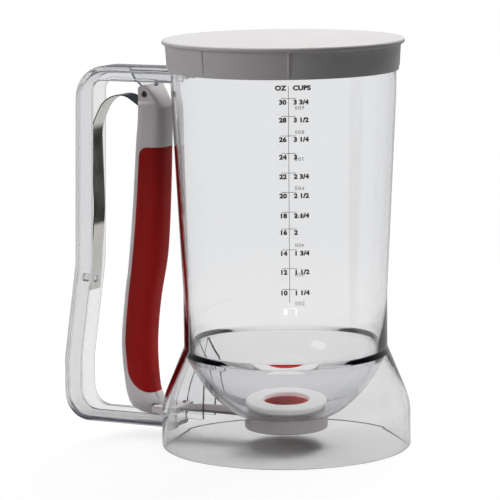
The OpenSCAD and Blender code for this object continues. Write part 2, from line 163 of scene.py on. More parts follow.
@dataclass(frozen=True)
class Corner:
    """A corner of an outline and the radius that rounds it."""

    x: float
    y: float
    r: float = 0.0


def fillet(before: Corner, at: Corner, after: Corner, steps: int) -> list[Point]:
    """Points of one rounded corner.

    Args:
        before: The corner before it.
        at: The corner itself.
        after: The corner after it.
        steps: Steps along the arc.

    Returns:
        The corner alone where its radius is zero, and the points of the arc otherwise.
    """
    p = Vector((at.x, at.y))
    if at.r == 0:
        return [(at.x, at.y)]
    u = (Vector((before.x, before.y)) - p).normalized()
    w = (Vector((after.x, after.y)) - p).normalized()
    half = math.acos(max(-1.0, min(1.0, u.dot(w)))) / 2
    centre = p + (u + w).normalized() * (at.r / math.sin(half))
    reach = at.r / math.tan(half)
    start, end = p + u * reach - centre, p + w * reach - centre
    a0 = math.atan2(start.y, start.x)
    turn = math.atan2(end.y, end.x) - a0
    turn = (turn + math.pi) % (2 * math.pi) - math.pi
    return [
        (centre.x + at.r * math.cos(a0 + turn * i / steps), centre.y + at.r * math.sin(a0 + turn * i / steps))
        for i in range(steps + 1)
    ]


def rounded(corners: Sequence[Corner], steps: int = 8, closed: bool = True) -> list[Point]:
    """Points of an outline with rounded corners.

    Args:
        corners: The corners in order.
        steps: Steps along each arc.
        closed: Whether the last corner joins the first; an open path keeps its end points.

    Returns:
        The points in order.
    """
    n = len(corners)
    out: list[Point] = []
    for i, c in enumerate(corners):
        if not closed and i in (0, n - 1):
            out.append((c.x, c.y))
        else:
            out += fillet(corners[i - 1], c, corners[(i + 1) % n], steps)
    return out


def eased(path: Sequence[Corner]) -> list[Corner]:
    """A path whose third values are shares of the shorter stretch beside each corner, given radii."""
    out = [path[0]]
    for a, b, c in zip(path, path[1:], path[2:]):
        p = Vector((b.x, b.y))
        to_a, to_c = Vector((a.x, a.y)) - p, Vector((c.x, c.y)) - p
        reach = b.r * min(to_a.length, to_c.length)
        out.append(Corner(b.x, b.y, reach * math.tan(to_a.angle(to_c) / 2)))
    return out + [path[-1]]


def arc(cx: float, cy: float, r: float, start: float, end: float, steps: int) -> list[Point]:
    """Points of an arc about a centre, from one angle to another, in degrees."""
    angles = [math.radians(start + (end - start) * i / steps) for i in range(steps + 1)]
    return [(cx + r * math.cos(a), cy + r * math.sin(a)) for a in angles]


def as_corners(points: Iterable[Point]) -> list[Corner]:
    """The same points as sharp corners."""
    return [Corner(x, y) for x, y in points]


# ---------------------------------------------------------------- meshes


def clean(mesh: bpy.types.Mesh) -> None:
    """Joins points that meet, and turns all faces outwards."""
    bm = bmesh.new()
    bm.from_mesh(mesh)
    bmesh.ops.remove_doubles(bm, verts=bm.verts, dist=2e-6)
    bmesh.ops.dissolve_degenerate(bm, edges=bm.edges, dist=1e-7)
    bmesh.ops.recalc_face_normals(bm, faces=bm.faces)
    if bm.calc_volume(signed=True) < 0:
        bmesh.ops.reverse_faces(bm, faces=bm.faces)
    bm.to_mesh(mesh)
    bm.free()


def smooth(obj: bpy.types.Object, angle: float = 30.0) -> bpy.types.Object:
    """Shades an object smooth, apart from edges sharper than an angle in degrees."""
    mesh = obj.data
    mesh.polygons.foreach_set("use_smooth", [True] * len(mesh.polygons))
    mesh.set_sharp_from_angle(angle=math.radians(angle))
    return obj


def linked(name: str, data: bpy.types.ID) -> bpy.types.Object:
    """A new object with the given data, linked to the scene."""
    obj = bpy.data.objects.new(name, data)
    bpy.context.scene.collection.objects.link(obj)
    return obj


def make_object(name: str, points: Sequence[Point3], faces: Sequence[Sequence[int]]) -> bpy.types.Object:
    """An object at the origin from points in millimetres.

    Args:
        name: Name of the object.
        points: The points.
        faces: The faces, as indices of points.

    Returns:
        The new object, linked to the scene.
    """
    mesh = bpy.data.meshes.new(name)
    mesh.from_pydata([(x * MM, y * MM, z * MM) for x, y, z in points], [], faces)
    clean(mesh)
    return linked(name, mesh)


def evaluated_mesh(obj: bpy.types.Object) -> bpy.types.Mesh:
    """A plain mesh of an object with its modifiers."""
    bpy.context.view_layer.update()
    graph = bpy.context.evaluated_depsgraph_get()
    return bpy.data.meshes.new_from_object(obj.evaluated_get(graph), depsgraph=graph)


def bake(obj: bpy.types.Object) -> bpy.types.Object:
    """Turns an object and its modifiers into a plain mesh object of the same name."""
    mesh = evaluated_mesh(obj)
    name = obj.name
    if obj.type == "MESH":
        obj.modifiers.clear()
        obj.data = mesh
        return obj
    obj.name = name + "_source"
    baked = linked(name, mesh)
    bpy.data.objects.remove(obj)
    return baked


def tube_faces(rings: int, n: int, closed: bool) -> list[list[int]]:
    """Faces between rings of points, with end caps where the rings don't join up.

    Args:
        rings: Number of rings.
        n: Points in each ring.
        closed: Whether the last ring joins the first.

    Returns:
        The faces.
    """
    faces = []
    for k in range(rings if closed else rings - 1):
        low, high = k * n, (k + 1) % rings * n
        for i in range(n):
            j = (i + 1) % n
            faces.append([low + i, low + j, high + j, high + i])
    if not closed:
        faces.append(list(range(n)))
        faces.append([(rings - 1) * n + i for i in reversed(range(n))])
    return faces


def lathe(name: str, profile: Sequence[Point], segments: int = 160) -> bpy.types.Object:
    """A closed outline of radius and height, turned about Z; points on the axis become poles."""
    n = len(profile)
    points = [
        (r * math.cos(2 * math.pi * k / segments), r * math.sin(2 * math.pi * k / segments), z)
        for k in range(segments)
        for r, z in profile
    ]
    faces = []
    for k in range(segments):
        for i in range(n):
            j = (i + 1) % n
            if profile[i][0] < 1e-6 and profile[j][0] < 1e-6:
                continue
            nxt = (k + 1) % segments
            faces.append([k * n + i, k * n + j, nxt * n + j, nxt * n + i])
    return make_object(name, points, faces)


def loft(name: str, rings: Sequence[Sequence[Point3]], closed: bool = False) -> bpy.types.Object:
    """A solid through rings that all have the same number of points."""
    flat = [p for ring in rings for p in ring]
    return make_object(name, flat, tube_faces(len(rings), len(rings[0]), closed))


def prism(name: str, outline: Sequence[Point], y0: float, y1: float) -> bpy.types.Object:
    """An outline in X and Z drawn out from one Y to another."""
    return loft(name, [[(x, y, z) for x, z in outline] for y in (y0, y1)])


def block(name: str, x: Point, y: Point, z: Point) -> bpy.types.Object:
    """A plain block for a cut, from its lowest to its highest X, Y and Z."""
    return prism(name, [(x[0], z[0]), (x[1], z[0]), (x[1], z[1]), (x[0], z[1])], *y)


def rod(name: str, r: float, start: Point3, end: Point3, segments: int = 48) -> bpy.types.Object:
    """A round rod between two points."""
    a, b = Vector(start), Vector(end)
    turn = (b - a).to_track_quat("Z", "Y")
    angles = [2 * math.pi * i / segments for i in range(segments)]
    ring = [Vector((r * math.cos(t), r * math.sin(t), 0)) for t in angles]
    return loft(name, [[tuple(p + turn @ v) for v in ring] for p in (a, b)])


class Op(Enum):
    """What a tool does to the solid that it meets."""

    CUT = "DIFFERENCE"
    JOIN = "UNION"
    KEEP = "INTERSECT"


def carve(base: bpy.types.Object, op: Op, *tools: bpy.types.Object) -> bpy.types.Object:
    """Cuts, joins or keeps by each tool in turn, and removes the tools.

    Args:
        base: The solid that is worked on.
        op: What the tools do to it.
        tools: Closed solids.

    Returns:
        The worked solid.
    """
    for tool in tools:
        step = base.modifiers.new("carve", "BOOLEAN")
        step.operation = op.value
        step.solver = "EXACT"
        step.object = tool
        bake(base)
        bpy.data.objects.remove(tool)
    clean(base.data)
    return base


def soften(obj: bpy.types.Object, width: float, segments: int = 3, angle: float = 40.0) -> bpy.types.Object:
    """Rounds the sharp edges of a solid by a width in millimetres."""
    step = obj.modifiers.new("soften", "BEVEL")
    step.width = width * MM
    step.segments = segments
    step.limit_method = "ANGLE"
    step.angle_limit = math.radians(angle)
    step.harden_normals = False
    return bake(obj)


# ---------------------------------------------------------------- node trees


class Graph:
    """A node tree that is built by short calls."""

    def __init__(self, tree: bpy.types.NodeTree) -> None:
        """Starts with the given tree, emptied."""
        self.tree = tree
        tree.nodes.clear()

    def add(self, kind: str, inputs: Optional[dict] = None, **settings: object) -> bpy.types.Node:
        """A new node.

        Args:
            kind: Its type name.
            inputs: Value or socket for each of its inputs, by name or place.
            settings: Its other settings.

        Returns:
            The node.
        """
        node = self.tree.nodes.new(kind)
        for key, value in settings.items():
            setattr(node, key, value)
        for key, value in (inputs or {}).items():
            self.put(node.inputs[key], value)
        return node

    def put(self, socket: bpy.types.NodeSocket, value: object) -> None:
        """Links a socket to another, or sets its value."""
        if isinstance(value, bpy.types.NodeSocket):
            self.tree.links.new(value, socket)
        else:
            socket.default_value = value

    def math(self, operation: str, *values: object) -> bpy.types.NodeSocket:
        """The result of an operation on numbers or sockets."""
        return self.add("ShaderNodeMath", dict(enumerate(values)), operation=operation).outputs[0]


class GeometryTree(Graph):
    """A Geometry Nodes tree with named inputs, whose result becomes a plain mesh."""

    def __init__(self, name: str, inputs: dict[str, str]) -> None:
        """Makes the tree.

        Args:
            name: Name of the tree.
            inputs: Socket type for each named input, without the word NodeSocket.
        """
        super().__init__(bpy.data.node_groups.new(name, "GeometryNodeTree"))
        face = self.tree.interface
        face.new_socket("Geometry", in_out="INPUT", socket_type="NodeSocketGeometry")
        self.identifiers = {
            key: face.new_socket(key, in_out="INPUT", socket_type="NodeSocket" + kind).identifier
            for key, kind in inputs.items()
        }
        face.new_socket("Geometry", in_out="OUTPUT", socket_type="NodeSocketGeometry")
        self.start = self.add("NodeGroupInput")

    def given(self, key: str) -> bpy.types.NodeSocket:
        """The socket of a named input."""
        return self.start.outputs[key]

    def end(self, geometry: bpy.types.NodeSocket) -> None:
        """Ends the tree in Realize Instances and Set Material."""
        real = self.add("GeometryNodeRealizeInstances", {"Geometry": geometry})
        done = self.add("GeometryNodeSetMaterial", {"Geometry": real.outputs[0], "Material": self.given("Material")})
        self.add("NodeGroupOutput", {"Geometry": done.outputs[0]})

    def apply(self, obj: bpy.types.Object, **values: object) -> bpy.types.Object:
        """Runs the tree on an object and keeps the result as a plain mesh.

        Args:
            obj: The object whose geometry the tree takes.
            values: A value for each named input, with _ for a space.

        Returns:
            The baked object.
        """
        step = obj.modifiers.new(self.tree.name, "NODES")
        step.node_group = self.tree
        for key, value in values.items():
            step[self.identifiers[key.replace("_", " ")]] = value
        baked = bake(obj)
        clean(baked.data)
        return baked


def flat_curve(name: str, points: Sequence[Point3], cyclic: bool) -> bpy.types.Object:
    """A curve of straight pieces through points in millimetres."""
    data = bpy.data.curves.new(name, "CURVE")
    data.dimensions = "3D"
    line = data.splines.new("POLY")
    line.points.add(len(points) - 1)
    for spot, (x, y, z) in zip(line.points, points):
        spot.co = (x * MM, y * MM, z * MM, 1)
    line.use_cyclic_u = cyclic
    return linked(name, data)


def revolve_tree() -> GeometryTree:
    """A tree that turns a closed profile of radius and height about Z."""
    tree = GeometryTree("Revolve", {"Guide radius": "Float", "Segments": "Int", "Material": "Material"})
    ring = tree.add(
        "GeometryNodeCurvePrimitiveCircle",
        {"Resolution": tree.given("Segments"), "Radius": tree.given("Guide radius")},
        mode="RADIUS",
    )
    swept = tree.add(
        "GeometryNodeCurveToMesh", {"Curve": ring.outputs[0], "Profile Curve": tree.given("Geometry")}
    )
    tree.end(swept.outputs[0])
    return tree


def strip_tree() -> GeometryTree:
    """A tree that draws a flat strip along a curve in the XZ plane."""
    tree = GeometryTree(
        "Strip", {"Width": "Float", "Thickness": "Float", "Sections": "Int", "Material": "Material"}
    )
    even = tree.add(
        "GeometryNodeResampleCurve", {"Curve": tree.given("Geometry"), "Count": tree.given("Sections")}
    )
    section = tree.add(
        "GeometryNodeCurvePrimitiveQuadrilateral",
        {"Width": tree.given("Width"), "Height": tree.given("Thickness")},
    )
    swept = tree.add(
        "GeometryNodeCurveToMesh",
        {"Curve": even.outputs[0], "Profile Curve": section.outputs[0], "Fill Caps": True},
    )
    tree.end(swept.outputs[0])
    return tree


def ring_of_tree() -> GeometryTree:
    """A tree that sets copies of a small solid round the axis, each turned to face outwards."""
    tree = GeometryTree("Ring of", {"Count": "Int", "First angle": "Float", "Material": "Material"})
    spots = tree.add("GeometryNodePoints", {"Count": tree.given("Count")})
    share = tree.math("DIVIDE", 2 * math.pi, tree.given("Count"))
    angle = tree.math("MULTIPLY", tree.add("GeometryNodeInputIndex").outputs[0], share)
    turned = tree.math("ADD", angle, tree.given("First angle"))
    spin = tree.add("ShaderNodeCombineXYZ", {"Z": turned})
    copies = tree.add(
        "GeometryNodeInstanceOnPoints",
        {"Points": spots.outputs[0], "Instance": tree.given("Geometry"), "Rotation": spin.outputs[0]},
    )
    tree.end(copies.outputs[0])
    return tree


def ticks_tree() -> GeometryTree:
    """A tree that sets a thin bar at each given point."""
    tree = GeometryTree("Ticks", {"Length": "Float", "Stroke": "Float", "Depth": "Float", "Material": "Material"})
    size = tree.add(
        "ShaderNodeCombineXYZ", {"X": tree.given("Length"), "Y": tree.given("Depth"), "Z": tree.given("Stroke")}
    )
    bar = tree.add("GeometryNodeMeshCube", {"Size": size.outputs[0], "Vertices X": 9})
    spots = tree.add("GeometryNodeMeshToPoints", {"Mesh": tree.given("Geometry")})
    copies = tree.add(
        "GeometryNodeInstanceOnPoints", {"Points": spots.outputs[0], "Instance": bar.outputs[0]}
    )
    tree.end(copies.outputs[0])
    return tree


def wrap_tree() -> GeometryTree:
    """A tree that wraps flat print, X along the wall and Y outwards, round the tapered jug."""
    tree = GeometryTree(
        "Wrap print",
        {
            "Front angle": "Float",
            "Waist radius": "Float",
            "Straight height": "Float",
            "Taper": "Float",
            "Material": "Material",
        },
    )
    place = tree.add("ShaderNodeSeparateXYZ", {0: tree.add("GeometryNodeInputPosition").outputs[0]})
    above = tree.math("MAXIMUM", tree.math("SUBTRACT", place.outputs[2], tree.given("Straight height")), 0.0)
    radius = tree.math("ADD", tree.given("Waist radius"), tree.math("MULTIPLY", above, tree.given("Taper")))
    angle = tree.math("ADD", tree.given("Front angle"), tree.math("DIVIDE", place.outputs[0], radius))
    out = tree.math("ADD", radius, place.outputs[1])
    spot = tree.add(
        "ShaderNodeCombineXYZ",
        {
            "X": tree.math("MULTIPLY", out, tree.math("SINE", angle)),
            "Y": tree.math("MULTIPLY", out, tree.math("MULTIPLY", tree.math("COSINE", angle), -1.0)),
            "Z": place.outputs[2],
        },
    )
    moved = tree.add(
        "GeometryNodeSetPosition", {"Geometry": tree.given("Geometry"), "Position": spot.outputs[0]}
    )
    tree.end(moved.outputs[0])
    return tree


# ---------------------------------------------------------------- finishes

Colour = tuple[float, float, float, float]


def material(name: str) -> tuple[bpy.types.Material, Graph]:
    """A new material with an empty node tree."""
    made = bpy.data.materials.new(name)
    made.use_nodes = True
    return made, Graph(made.node_tree)


def noise(
    graph: Graph, scale: float, detail: float = 3.0, stretch: Point3 = (1, 1, 1)
) -> bpy.types.NodeSocket:
    """Noise on the object's own coordinates, with a scale per metre."""
    coords = graph.add("ShaderNodeTexCoord")
    place = graph.add("ShaderNodeMapping", {"Vector": coords.outputs["Object"], "Scale": stretch})
    return graph.add(
        "ShaderNodeTexNoise", {"Vector": place.outputs[0], "Scale": scale, "Detail": detail}
    ).outputs[0]


def spread(graph: Graph, source: bpy.types.NodeSocket, low: float, high: float) -> bpy.types.NodeSocket:
    """Noise from its usual range to a range of values."""
    node = graph.add("ShaderNodeMapRange", {0: source, 1: 0.3, 2: 0.7, 3: low, 4: high})
    return node.outputs[0]


def blend_colours(graph: Graph, share: bpy.types.NodeSocket, a: Colour, b: Colour) -> bpy.types.NodeSocket:
    """One colour turning into another by a share."""
    node = graph.add("ShaderNodeMix", data_type="RGBA")
    graph.put(node.inputs["Factor"], share)
    graph.put(node.inputs[6], a)
    graph.put(node.inputs[7], b)
    return node.outputs[2]


def bump(graph: Graph, height: bpy.types.NodeSocket, strength: float, distance_mm: float) -> bpy.types.NodeSocket:
    """A bumped normal."""
    node = graph.add("ShaderNodeBump", {"Strength": strength, "Distance": distance_mm * MM, "Height": height})
    return node.outputs[0]


@dataclass(frozen=True)
class ClearPlastic:
    """Clear moulded plastic: glassy, with a faint flow ripple, a cool grey depth of colour and painted shade at grazing
    angles.
    """

    name: str
    tint: Colour = (0.965, 0.968, 0.972, 1)
    ior: float = 1.5
    depth: Colour = (0.55, 0.6, 0.68, 1)
    density: float = 14.0
    ripple: float = 0.05
    # The edge colour is painted shade: towards grazing angles the plastic's colour turns to it.
    edge: Colour = (0.5, 0.52, 0.58, 1)
    painted_edge_shade_share: float = 0.6
    painted_edge_shade_power: float = 4.0

    def build(self) -> bpy.types.Material:
        """The material."""
        made, g = material(self.name)
        flow = noise(g, 60.0, 2.0, (1, 1, 0.35))
        # Painted shade: the colour darkens towards grazing angles, in place of the dark lines that refraction draws at
        # edges.
        facing = g.add("ShaderNodeLayerWeight", {"Blend": 0.5}).outputs["Facing"]
        painted_edge_shade = g.math("MULTIPLY", g.math("POWER", facing, self.painted_edge_shade_power), self.painted_edge_shade_share)
        plastic = g.add(
            "ShaderNodeBsdfPrincipled",
            {
                "Base Color": blend_colours(g, painted_edge_shade, self.tint, self.edge),
                "IOR": self.ior,
                "Transmission Weight": 1.0,
                "Roughness": spread(g, noise(g, 400.0), 0.0, 0.012),
                "Normal": bump(g, flow, self.ripple, 0.4),
            },
        )
        open_way = g.add("ShaderNodeBsdfTransparent", {"Color": (0.99, 0.99, 0.99, 1)})
        ray = g.add("ShaderNodeLightPath")
        soft = g.add(
            "ShaderNodeMixShader",
            {0: ray.outputs["Is Diffuse Ray"], 1: plastic.outputs[0], 2: open_way.outputs[0]},
        )
        mix = g.add(
            "ShaderNodeMixShader", {0: ray.outputs["Is Shadow Ray"], 1: soft.outputs[0], 2: open_way.outputs[0]}
        )
        inside = g.add("ShaderNodeVolumeAbsorption", {"Color": self.depth, "Density": self.density})
        g.add("ShaderNodeOutputMaterial", {"Surface": mix.outputs[0], "Volume": inside.outputs[0]})
        return made


@dataclass(frozen=True)
class MouldedPlastic:
    """Opaque moulded plastic with a fine eroded texture and slight mottling."""

    name: str
    light: Colour
    dark: Colour
    rough: tuple[float, float] = (0.34, 0.46)
    grain: float = 2600.0
    grain_depth: float = 0.012
    strength: float = 0.25
    glow: float = 0.0
    # lift: painted light, an emission in the light colour that brightens the plastic where little light reaches it.
    lift: float = 0.0
    shine: float = 0.45
    # Painted shade: between these two places along X the plastic turns to its dark tone.
    painted_shade_span: Optional[tuple[float, float]] = None

    def build(self) -> bpy.types.Material:
        """The material; between two places along X, in metres, it can turn to its dark tone, which is painted shade."""
        made, g = material(self.name)
        mottle_and_painted_shade = spread(g, noise(g, 55.0, 4.0), 0.0, 1.0)
        if self.painted_shade_span:
            along = g.add("ShaderNodeSeparateXYZ", {0: g.add("ShaderNodeTexCoord").outputs["Object"]}).outputs[0]
            # Painted shade: the share of the dark tone rises along X, towards the inside of the skirt.
            inward = g.add("ShaderNodeMapRange", {0: along, 1: self.painted_shade_span[0], 2: self.painted_shade_span[1]}).outputs[0]
            mottle_and_painted_shade = g.math("MULTIPLY", inward, g.math("ADD", g.math("MULTIPLY", mottle_and_painted_shade, 0.25), 0.75))
        fine = noise(g, self.grain, 2.0)
        waves = noise(g, 120.0, 2.0)
        height = g.math("ADD", g.math("MULTIPLY", waves, 0.6), fine)
        plastic = g.add(
            "ShaderNodeBsdfPrincipled",
            {
                "Base Color": blend_colours(g, mottle_and_painted_shade, self.light, self.dark),
                "Roughness": spread(g, noise(g, 300.0), *self.rough),
                "Specular IOR Level": self.shine,
                "Subsurface Weight": self.glow,
                "Subsurface Radius": (0.0012, 0.0009, 0.0008),
                "Subsurface Scale": 1.0,
                # Painted light: the lift makes the plastic glow in its light colour.
                "Emission Color": self.light,
                "Emission Strength": self.lift,
                "Normal": bump(g, height, self.strength, self.grain_depth),
            },
        )
        g.add("ShaderNodeOutputMaterial", {"Surface": plastic.outputs[0]})
        return made


@dataclass(frozen=True)
class SoftGrip:
    """Soft-touch rubbery plastic: matt, with a dusty sheen and a fine stipple."""

    name: str
    light: Colour
    dark: Colour
    sheen: float = 0.15
    rough: tuple[float, float] = (0.5, 0.62)
    shine: float = 0.22

    def build(self) -> bpy.types.Material:
        """The material."""
        made, g = material(self.name)
        blotch = spread(g, noise(g, 45.0, 5.0), 0.0, 1.0)
        stipple = noise(g, 3200.0, 2.0)
        rubber = g.add(
            "ShaderNodeBsdfPrincipled",
            {
                "Base Color": blend_colours(g, blotch, self.light, self.dark),
                "Roughness": spread(g, noise(g, 260.0), *self.rough),
                "Specular IOR Level": self.shine,
                "Sheen Weight": self.sheen,
                "Sheen Roughness": 0.5,
                "Sheen Tint": (1.0, 0.25, 0.22, 1),
                "Normal": bump(g, stipple, 0.35, 0.02),
            },
        )
        g.add("ShaderNodeOutputMaterial", {"Surface": rubber.outputs[0]})
        return made


@dataclass(frozen=True)
class BrushedSteel:
    """Spring steel with rolling lines along its length, darker worn spots and a painted dark reflection band.

    The lengths for the painted reflection band are in metres: its two heights, half the strip's width, the
    dark rim along the strip's sides, and the fade at its ends.
    """

    name: str
    light: Colour
    dark: Colour
    rough: tuple[float, float] = (0.24, 0.38)
    # Painted reflection: between these two heights the strip turns dark, where it reflects dark surroundings.
    painted_reflection_band: Optional[tuple[float, float]] = None
    half_width: float = 0.0052
    # How far in from its sides the strip turns darker.
    dark_rim: float = 0.00005
    fade: float = 0.001
    painted_reflection_share: float = 0.88

    def build(self) -> bpy.types.Material:
        """The material; with the painted reflection band, a stretch of height and the strip's side rims are darker."""
        made, g = material(self.name)
        lines = noise(g, 900.0, 3.0, (1, 1, 0.03))
        wear_and_painted_reflection = spread(g, noise(g, 90.0, 4.0), 0.0, 0.14)
        if self.painted_reflection_band:
            low, high = self.painted_reflection_band
            place = g.add("ShaderNodeSeparateXYZ", {0: g.add("ShaderNodeTexCoord").outputs["Object"]})
            height, across = place.outputs[2], g.math("ABSOLUTE", place.outputs[1])
            # Painted reflection: a dark band between two heights, added to the worn spots.
            rise = g.add("ShaderNodeMapRange", {0: height, 1: low - self.fade, 2: low + self.fade}).outputs[0]
            fall = g.add("ShaderNodeMapRange", {0: height, 1: high + 2 * self.fade, 2: high - self.fade}).outputs[0]
            wear_and_painted_reflection = g.math("ADD", wear_and_painted_reflection, g.math("MULTIPLY", g.math("MULTIPLY", rise, fall), self.painted_reflection_share))
            edge = g.add("ShaderNodeMapRange", {0: across, 1: self.half_width - self.dark_rim, 2: self.half_width})
            wear_and_painted_reflection = g.math("MAXIMUM", wear_and_painted_reflection, edge.outputs[0])
        steel = g.add(
            "ShaderNodeBsdfPrincipled",
            {
                "Base Color": blend_colours(g, wear_and_painted_reflection, self.light, self.dark),
                "Metallic": 1.0,
                "Roughness": spread(g, lines, *self.rough),
                "Normal": bump(g, lines, 0.25, 0.01),
            },
        )
        g.add("ShaderNodeOutputMaterial", {"Surface": steel.outputs[0]})
        return made


@dataclass(frozen=True)
class PrintedInk:
    """Screen-printed ink, slightly uneven in cover and gloss."""

    name: str
    light: Colour
    dark: Colour
    glow: float = 0.0

    def build(self) -> bpy.types.Material:
        """The material; the glow stands for the light that pale ink lets through."""
        made, g = material(self.name)
        cover = spread(g, noise(g, 1500.0, 3.0), 0.0, 1.0)
        ink = g.add(
            "ShaderNodeBsdfPrincipled",
            {
                "Base Color": blend_colours(g, cover, self.light, self.dark),
                "Roughness": spread(g, noise(g, 700.0), 0.35, 0.55),
                "Emission Color": (1, 1, 1, 1),
                "Emission Strength": self.glow,
                "Normal": bump(g, cover, 0.2, 0.01),
            },
        )
        g.add("ShaderNodeOutputMaterial", {"Surface": ink.outputs[0]})
        return made


class Finishes:
    """Every finish of the dispenser, built once."""

    def __init__(self) -> None:
        """Builds the materials."""
        self.jug = ClearPlastic("clear_jug_plastic").build()
        # The handle's painted edge shade is near black and at full share, for its dark edge lines.
        self.handle = ClearPlastic(
            "clear_handle_plastic",
            depth=(0.5, 0.505, 0.53, 1),
            density=48.0,
            ripple=0.0,
            edge=(0.1, 0.11, 0.15, 1),
            painted_edge_shade_share=1.0,
            painted_edge_shade_power=3.0,
        ).build()
        self.lid = MouldedPlastic(
            "lid_plastic", (0.88, 0.865, 0.87, 1), (0.855, 0.84, 0.85, 1), rough=(0.3, 0.42), glow=0.06, shine=0.2
        ).build()
        self.lever = MouldedPlastic(
            "lever_plastic", (0.84, 0.805, 0.82, 1), (0.8, 0.77, 0.785, 1), rough=(0.36, 0.5), strength=0.35
        ).build()
        # The ring's lift is painted light that brightens it at the bottom of the bowl, under the lid.
        self.ring = MouldedPlastic(
            "ring_plastic", (0.96, 0.95, 0.95, 1), (0.93, 0.92, 0.92, 1), rough=(0.38, 0.52), lift=0.18
        ).build()
        self.valve = MouldedPlastic(
            "valve_plastic", (0.66, 0.62, 0.62, 1), (0.62, 0.585, 0.59, 1), rough=(0.38, 0.52)
        ).build()
        # The slide's arm turns dark inside the skirt: painted shade, where the bowl shades it.
        self.slide = MouldedPlastic(
            "slide_plastic", (0.86, 0.83, 0.835, 1), (0.28, 0.25, 0.235, 1), rough=(0.38, 0.52), painted_shade_span=(-0.062, -0.05)
        ).build()
        self.grip = SoftGrip("grip_rubber", (0.42, 0.013, 0.012, 1), (0.36, 0.009, 0.009, 1), sheen=0.2).build()
        self.liner = SoftGrip(
            "liner_silicone_rubber",
            (0.85, 0.06, 0.05, 1),
            (0.75, 0.05, 0.04, 1),
            sheen=0.0,
            rough=(0.45, 0.55),
            shine=0.06,
        ).build()
        self.pale_silicone = SoftGrip(
            "pale_silicone_rubber", (0.72, 0.7, 0.68, 1), (0.66, 0.64, 0.62, 1), sheen=0.0, rough=(0.4, 0.5)
        ).build()
        self.silicone = SoftGrip(
            "red_silicone_rubber",
            (0.62, 0.03, 0.025, 1),
            (0.55, 0.022, 0.018, 1),
            sheen=0.0,
            rough=(0.45, 0.55),
            shine=0.06,
        ).build()
        # The spring's dark band between two heights is a painted reflection.
        self.spring = BrushedSteel(
            "spring_steel_brushed",
            (0.95, 0.94, 0.9, 1),
            (0.03, 0.035, 0.025, 1),
            rough=(0.14, 0.26),
            painted_reflection_band=(0.0987, 0.145),
        ).build()
        self.pin = BrushedSteel("pin_steel", (0.1, 0.1, 0.1, 1), (0.05, 0.05, 0.055, 1), rough=(0.4, 0.5)).build()
        self.ink = PrintedInk("scale_ink_dark", (0.02, 0.02, 0.022, 1), (0.035, 0.035, 0.04, 1)).build()
        self.line_ink = PrintedInk("scale_ink_line", (0.13, 0.13, 0.14, 1), (0.18, 0.18, 0.19, 1)).build()
        self.far_ink = PrintedInk("scale_ink_grey", (0.3, 0.3, 0.31, 1), (0.5, 0.5, 0.51, 1)).build()
        self.pale_ink = PrintedInk("scale_ink_pale", (0.9, 0.9, 0.9, 1), (0.85, 0.85, 0.86, 1), glow=0.75).build()


def dress(
    obj: bpy.types.Object,
    finish: bpy.types.Material,
    body: Body,
    slot: Slot,
    *nodes: str,
    angle: float = 30.0,
) -> bpy.types.Object:
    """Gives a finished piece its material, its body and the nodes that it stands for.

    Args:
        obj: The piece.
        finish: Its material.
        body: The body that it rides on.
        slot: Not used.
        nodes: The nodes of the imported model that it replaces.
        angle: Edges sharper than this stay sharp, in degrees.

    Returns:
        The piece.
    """
    obj.data.materials.clear()
    obj.data.materials.append(finish)
    smooth(obj, angle)
    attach(obj, body.value)
    if nodes:
        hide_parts(*nodes)
    LOG.info("%s: %d faces on %s", obj.name, len(obj.data.polygons), body.value)
    return obj


def redress(node: str, finish: bpy.types.Material) -> None:
    """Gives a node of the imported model, which keeps its shape, a better material."""
    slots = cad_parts[node].data.materials
    slots.clear()
    slots.append(finish)
    LOG.info("%s: keeps its shape, with a new finish", node)


# ---------------------------------------------------------------- jug and base


